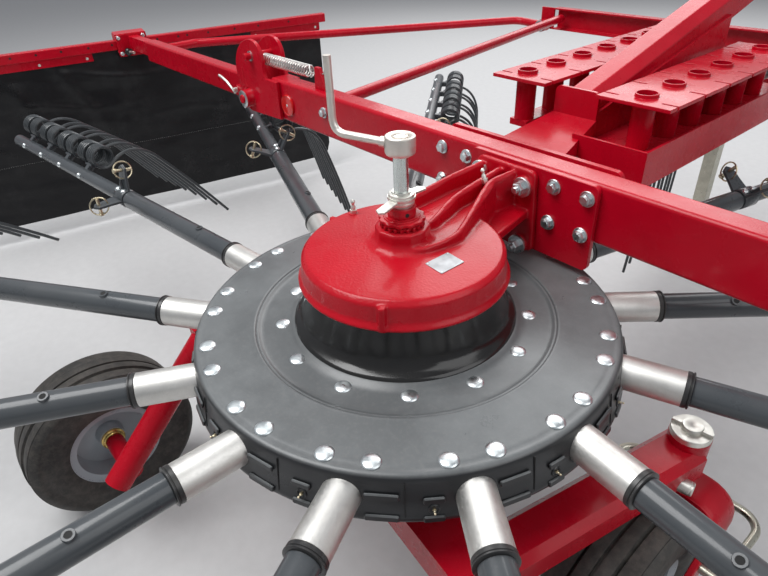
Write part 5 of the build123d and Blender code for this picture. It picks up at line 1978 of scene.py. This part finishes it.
@dataclass
class Castors(Assembly):
    """Kingpin washers, heads and axle nuts of the two castor forks."""

    top_z: float = 0.526

    def build(self) -> None:
        """Makes the fittings of both castors."""
        for name, body, side in (("left", Body.CASTOR_LEFT, -1), ("right", Body.CASTOR_RIGHT, 1)):
            x, y = side * self.plan.king[0], self.plan.king[1]
            place = Matrix.Translation(self.plan.ground(x, y, self.top_z - 0.0035))
            head = Form()
            washer = mm((0, -8.8), (34.5, -8.8), (35.2, -8), (35.2, 2.2), (34.2, 3.4), (0, 3.4))
            head.lathe(place, washer, 48)
            top = mm((0, 2), (17.8, 2), (17.8, 10.5), (16.8, 12.2), (3, 12.6), (2, 12), (0, 12))
            head.lathe(place, top, 36)
            bar = place @ spin(8.0, "Z") @ shift(0, 0, 0.0032)
            head.prism(mm((-35, -4.2), (35, -4.2), (35, 4.2), (-35, 4.2)), bar, 0.0065, 0.001)
            head.finish(f"castor_head_{name}", Look.PALE_ZINC, body)
            self._fork(name, body, x, y)
            nuts = []
            for out in (-1, 1):
                spot = self.plan.ground(x + out * 0.104, y - self.plan.trail, self.plan.axle_z)
                nuts.append(Matrix.Translation(spot) @ spin(90.0 * out, "Y"))
            spread(f"castor_axle_nuts_{name}", hex_bolt(0.024, 0.011, 0.019, 0.004), Look.ZINC, body, nuts)
            stop = Form()
            start = self.plan.ground(x + 0.012, y - 0.062, 0.452)
            stop.rod(start, start + Vector((0.036, 0.008, -0.002)), 0.0128, 24, 0.0016)
            stop.rod(
                start + Vector((0.006, 0.0013, 0)),
                start + Vector((0.031, 0.007, -0.0015)), 0.0136, 24, 0.0012,
            )
            stop.finish(f"castor_stop_{name}", Look.PALE_ZINC, Body.FRAME)

    def _fork(self, name: str, body: Body, x: float, y: float) -> None:
        """Bends the fork over the wheel and adds its kingpin and axle.

        Args:
            name: Left or right.
            body: The castor's body.
            x: Place of the kingpin.
            y: Place of the kingpin.
        """
        form = Form()
        path = []
        for side in (1, -1):
            leg = [
                (side * 0.097, -self.plan.trail, 0.18),
                (side * 0.097, -self.plan.trail * 0.72, 0.25), (side * 0.097, 0.0, 0.335),
            ]
            for n in range(7):
                angle = math.pi / 2 * n / 6
                leg.append((side * (0.045 + 0.052 * math.cos(angle)), 0.006, 0.345 + 0.05 * math.sin(angle)))
            path += leg if side > 0 else list(reversed(leg))
        rings, section = [], rounded(2.0, 2.0, 0.4, 3)
        for n, (dx, dy, z) in enumerate(path):
            before, after = path[max(n - 1, 0)], path[min(n + 1, len(path) - 1)]
            run = Vector((after[0] - before[0], after[1] - before[1], after[2] - before[2])).normalized()
            out = Vector((run.z, 0.0, -run.x)).normalized()
            across = run.cross(out)
            half = 0.03 + 0.0075 * min(1.0, max(0.0, (z - 0.2) / 0.15))
            spot = self.plan.ground(x + dx, y + dy, z)
            rings.append([spot + across * (half * u) + out * (0.007 * v) for u, v in section])
        form.skin(rings)
        king = self.plan.ground(x, y, 0.385)
        form.rod(king, king + Vector((0, 0, 0.14)), 0.02, 32)
        axle = self.plan.ground(x - 0.112, y - self.plan.trail, self.plan.axle_z)
        form.rod(axle, axle + Vector((0.224, 0, 0)), 0.014, 28)
        piece = form.finish(f"fork_bow_{name}", Look.RED, body, 34.0)
        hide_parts(f"fork_front_{name}")


# Plain nodes with eased edges, and the front end


@dataclass(frozen=True)
class Soft:
    """How the edges of one node are eased."""

    node: str
    look: Look
    body: Body
    edge: float
    angle: float = 28.0


@dataclass
class Softener:
    """Copies plain nodes with eased edges and clean shading."""

    jobs: list[Soft]

    def build(self, nodes: dict[str, Obj]) -> None:
        """Eases every listed node."""
        for job in self.jobs:
            self._ease(job, nodes[job.node])

    def _ease(self, job: Soft, node: Obj) -> None:
        """Eases one node.

        Args:
            job: What to do.
            node: The node's object.
        """
        work = bmesh.new()
        work.from_mesh(node.data)
        bmesh.ops.remove_doubles(work, verts=work.verts, dist=1e-6)
        bmesh.ops.dissolve_limit(work, angle_limit=math.radians(0.4), verts=work.verts, edges=work.edges)
        limit = math.radians(job.angle)
        picked = [e for e in work.edges if len(e.link_faces) == 2 and e.calc_face_angle(0.0) > limit]
        bmesh.ops.bevel(
            work,
            geom=picked,
            offset=job.edge,
            offset_type="OFFSET",
            segments=2,
            profile=0.5,
            affect="EDGES",
            clamp_overlap=True,
        )
        mesh = bpy.data.meshes.new(job.node + "_eased")
        smooth_by_angle(work, 50.0)
        work.to_mesh(mesh)
        work.free()
        piece = link_new(job.node + "_eased", mesh)
        shading = piece.modifiers.new("normals", "WEIGHTED_NORMAL")
        shading.keep_sharp = True
        shading.weight = 100
        as_plain_mesh(piece)
        settle(piece, job.look, job.body)
        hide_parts(job.node)


FRAME_EDGES = {
    "mount_plate": 0.0018,
    "main_beam": 0.0022,
    "tray": 0.0012,
    "drawbar": 0.003,
    "rack_left": 0.0011,
    "rack_right": 0.0011,
    "front_member": 0.0014,
    "headstock": 0.0018,
    "cross_beam": 0.0006,
    "spring_anchor": 0.0012,
    "chassis": 0.002,
}
SOFT_JOBS = [
    *(Soft(node, Look.RED, Body.FRAME, edge) for node, edge in FRAME_EDGES.items()),
    Soft("curtain_arm", Look.RED, Body.ARM, 0.0008),
    Soft("curtain_rail", Look.RED, Body.RAIL, 0.001),
    Soft("stand_sleeve", Look.RED, Body.FRAME, 0.0016),
    Soft("stand", Look.OLIVE_ZINC, Body.STAND, 0.0014),
]


class FrontEnd(Assembly):
    """Fittings of the front cross member, the headstock and the stand."""

    def build(self) -> None:
        """Makes the pins, washers, bolts and caps at the front."""
        self._guard_ends()
        self._headstock()

    def _guard_ends(self) -> None:
        """Sets the washers and bolts at the ends of the guard tubes."""
        washers = Form()
        pin = self.mark(self.plan.hinge_x, 1.826, self.plan.hinge_z) @ TO_REAR
        washers.lathe(pin, disc(0.024, 0.0, 0.003), 36)
        washers.join(hex_bolt(0.024, 0.011, 0.016), pin @ shift(0, 0, 0.002))
        for side in (-1, 1):
            spot = self.mark(self.plan.frame_x + side * 0.628, self.plan.beam_y - 0.0005, 0.143)
            washers.join(hex_bolt(0.019, 0.009, 0.015), spot @ TO_REAR)
            eye = self.mark(self.plan.frame_x + side * 0.953, 1.8795, 0.145)
            washers.join(hex_bolt(0.019, 0.009, 0.016), eye @ TO_REAR)
        washers.finish("guard_bolts", Look.ZINC, Body.FRAME)

    def _headstock(self) -> None:
        """Sets the collars of the link pins and the bolts of the head plates."""
        form = Form()
        axle = self.plan.ground(self.plan.frame_x, 2.06, 0.64)
        for side in (-1, 1):
            place = Matrix.Translation(axle) @ spin(90.0 * side, "Y")
            form.lathe(
                place, mm((13.5, 330), (35, 330), (37, 333), (37, 340.5), (35, 342.5), (13.5, 342.5)),
                40, loop=True,
            )
        form.finish("link_collars", Look.ZINC, Body.FRAME)
        bolts = []
        for side in (-1, 1):
            for y, z in ((1.94, 1.12), (2.0, 1.05), (2.03, 0.72), (1.96, 0.84)):
                spot = self.plan.ground(self.plan.frame_x + side * 0.0602, y, z)
                bolts.append(Matrix.Translation(spot) @ spin(90.0 * side, "Y"))
        spread("head_bolts", hex_bolt(0.03, 0.014, 0.024, 0.006), Look.ZINC, Body.FRAME, bolts)
        pin = Form()
        x, y = -0.275, 1.984
        start = self.plan.ground(x - 0.055, y, 0.66)
        pin.rod(start, start + Vector((0.11, 0, 0)), 0.0075, 20)
        loop = [
            (-0.054, 0.0, 0.0), (-0.062, 0.0, -0.004), (-0.066, 0.0, -0.02),
            (-0.062, 0.0, -0.045), (-0.056, 0.0, -0.052),
        ]
        pin.sweep([self.plan.ground(x + dx, y + dy, 0.66 + dz) for dx, dy, dz in loop], 0.004, 12)
        pin.finish("stand_pin", Look.PALE_ZINC, Body.FRAME)


# Nodes that stay as they are


NODE_LOOKS = {
    "arm_stubs": Look.ALUMINIUM,
    "rotor_drum": Look.DISC,
    "column": Look.GREY_TUBE,
    "drive_tube": Look.COLLAR,
    "input_shaft": Look.ZINC,
    "input_box": Look.GREY_TUBE,
}


def node_look(name: str) -> Look:
    """Finish of a node that stays, by its name; the others are replaced later.

    Args:
        name: Name of the node.

    Returns:
        Its finish.
    """
    if name in NODE_LOOKS:
        return NODE_LOOKS[name]
    return Look.OLIVE_ZINC if name.startswith("hoop") else Look.RED


def dress_nodes(nodes: dict[str, Obj]) -> None:
    """Gives every node its finish.

    Args:
        nodes: The frame's nodes by name.
    """
    for name, obj in nodes.items():
        dress(obj, node_look(name))
    LOG.info("dressed %d nodes", len(nodes))


# Studio


@dataclass
class Studio:
    """Camera, lamps, world and floor."""

    axis: Vector
    place: Point = (0.679, -0.591, 1.33)
    azimuth: float = 141.29
    tilt: float = 33.56
    roll: float = -2.87
    focal: float = 593.0
    picture_width: float = 768.0
    sensor: float = 36.0

    def build(self) -> None:
        """Sets the camera, the lamps, the world and the floor."""
        scene = bpy.context.scene
        scene.view_settings.view_transform = "Standard"
        scene.camera = self._camera()
        self._lamps()
        self._world()
        self._floor()
        LOG.info("studio set")

    def _camera(self) -> Obj:
        """Makes the camera at the photograph's place.

        Returns:
            The camera object.
        """
        az, tilt, roll = (math.radians(v) for v in (self.azimuth, self.tilt, self.roll))
        forward = Vector((math.cos(az) * math.cos(tilt), math.sin(az) * math.cos(tilt), -math.sin(tilt)))
        right = forward.cross(Vector((0.0, 0.0, 1.0))).normalized()
        up = right.cross(forward)
        side = right * math.cos(roll) + up * math.sin(roll)
        top = up * math.cos(roll) - right * math.sin(roll)
        data = bpy.data.cameras.new("photo_camera")
        data.sensor_width = self.sensor
        data.lens = self.focal * self.sensor / self.picture_width
        data.clip_start = 0.05
        camera = link_new("photo_camera", data)
        turn = Matrix((side, top, -forward)).transposed().to_4x4()
        camera.matrix_world = Matrix.Translation(self.axis + Vector(self.place)) @ turn
        return camera

    def _lamps(self) -> None:
        """Hangs three large soft lamps."""
        for name, place, power, size in (
            ("key", (-1.6, -1.8, 5.6), 330.0, 3.6),
            ("fill", (4.5, 1.0, 4.2), 110.0, 4.5),
            ("back", (-3.0, 5.0, 4.6), 260.0, 5.0),
        ):
            data = bpy.data.lights.new(name, "AREA")
            data.energy = power
            data.size = size
            lamp = link_new(name, data)
            lamp.location = self.axis + Vector(place)
            aim = self.axis + Vector((0.0, 0.2, 0.6)) - lamp.location
            lamp.rotation_euler = aim.to_track_quat("-Z", "Y").to_euler()

    def _world(self) -> None:
        """Sets a pale even world."""
        world = bpy.data.worlds.new("studio_world")
        world.use_nodes = True
        sky = world.node_tree.nodes["Background"]
        sky.inputs["Color"].default_value = (0.9, 0.93, 1.0, 1.0)
        sky.inputs["Strength"].default_value = 0.36
        bpy.context.scene.world = world

    def _floor(self) -> None:
        """Lays the plain pale floor."""
        mesh = bpy.data.meshes.new("floor")
        half = 30.0
        mesh.from_pydata(
            [(-half, -half, 0.0), (half, -half, 0.0), (half, half, 0.0), (-half, half, 0.0)],
            [], [(0, 1, 2, 3)],
        )
        floor = link_new("floor", mesh)
        g = Graph("floor_finish")
        grain = g.mix(g.ramp(g.noise(30.0, 4.0), 0.3, 0.7), (0.54, 0.54, 0.54), (0.51, 0.51, 0.51))
        g.link(grain, g.shader.inputs["Base Color"])
        g.set(Roughness=0.8)
        mesh.materials.append(g.material)


def main() -> None:
    """Builds the whole picture piece by piece."""
    logging.basicConfig(level=logging.INFO, format="%(message)s")
    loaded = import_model()
    nodes = loaded["nodes"]
    low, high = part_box("rotor_disc")
    axis = Vector(((low[0] + high[0]) / 2, (low[1] + high[1]) / 2, 0.0))
    plan = Plan(axis)
    dress_nodes(nodes)
    Rotor(plan).build()
    Arms(plan).build()
    CastCover(plan).build(nodes["gear_cover"])
    SpindleGroup(plan).build()
    BeamHardware(plan).build()
    HingeSide(plan).build()
    CurtainSide(plan).build()
    Wheels(plan).build(
        [
            WheelSpec("rear_left", Body.WHEEL_REAR_LEFT, -plan.rear[0], plan.rear[1], -1),
            WheelSpec("rear_right", Body.WHEEL_REAR_RIGHT, plan.rear[0], plan.rear[1], 1),
            WheelSpec("front_left", Body.WHEEL_FRONT_LEFT, -plan.king[0], plan.king[1] - plan.trail, -1),
            WheelSpec("front_right", Body.WHEEL_FRONT_RIGHT, plan.king[0], plan.king[1] - plan.trail, 1),
        ]
    )
    Castors(plan).build()
    FrontEnd(plan).build()
    Softener(SOFT_JOBS).build(nodes)
    Studio(axis).build()


if __name__ == "__main__":
    main()
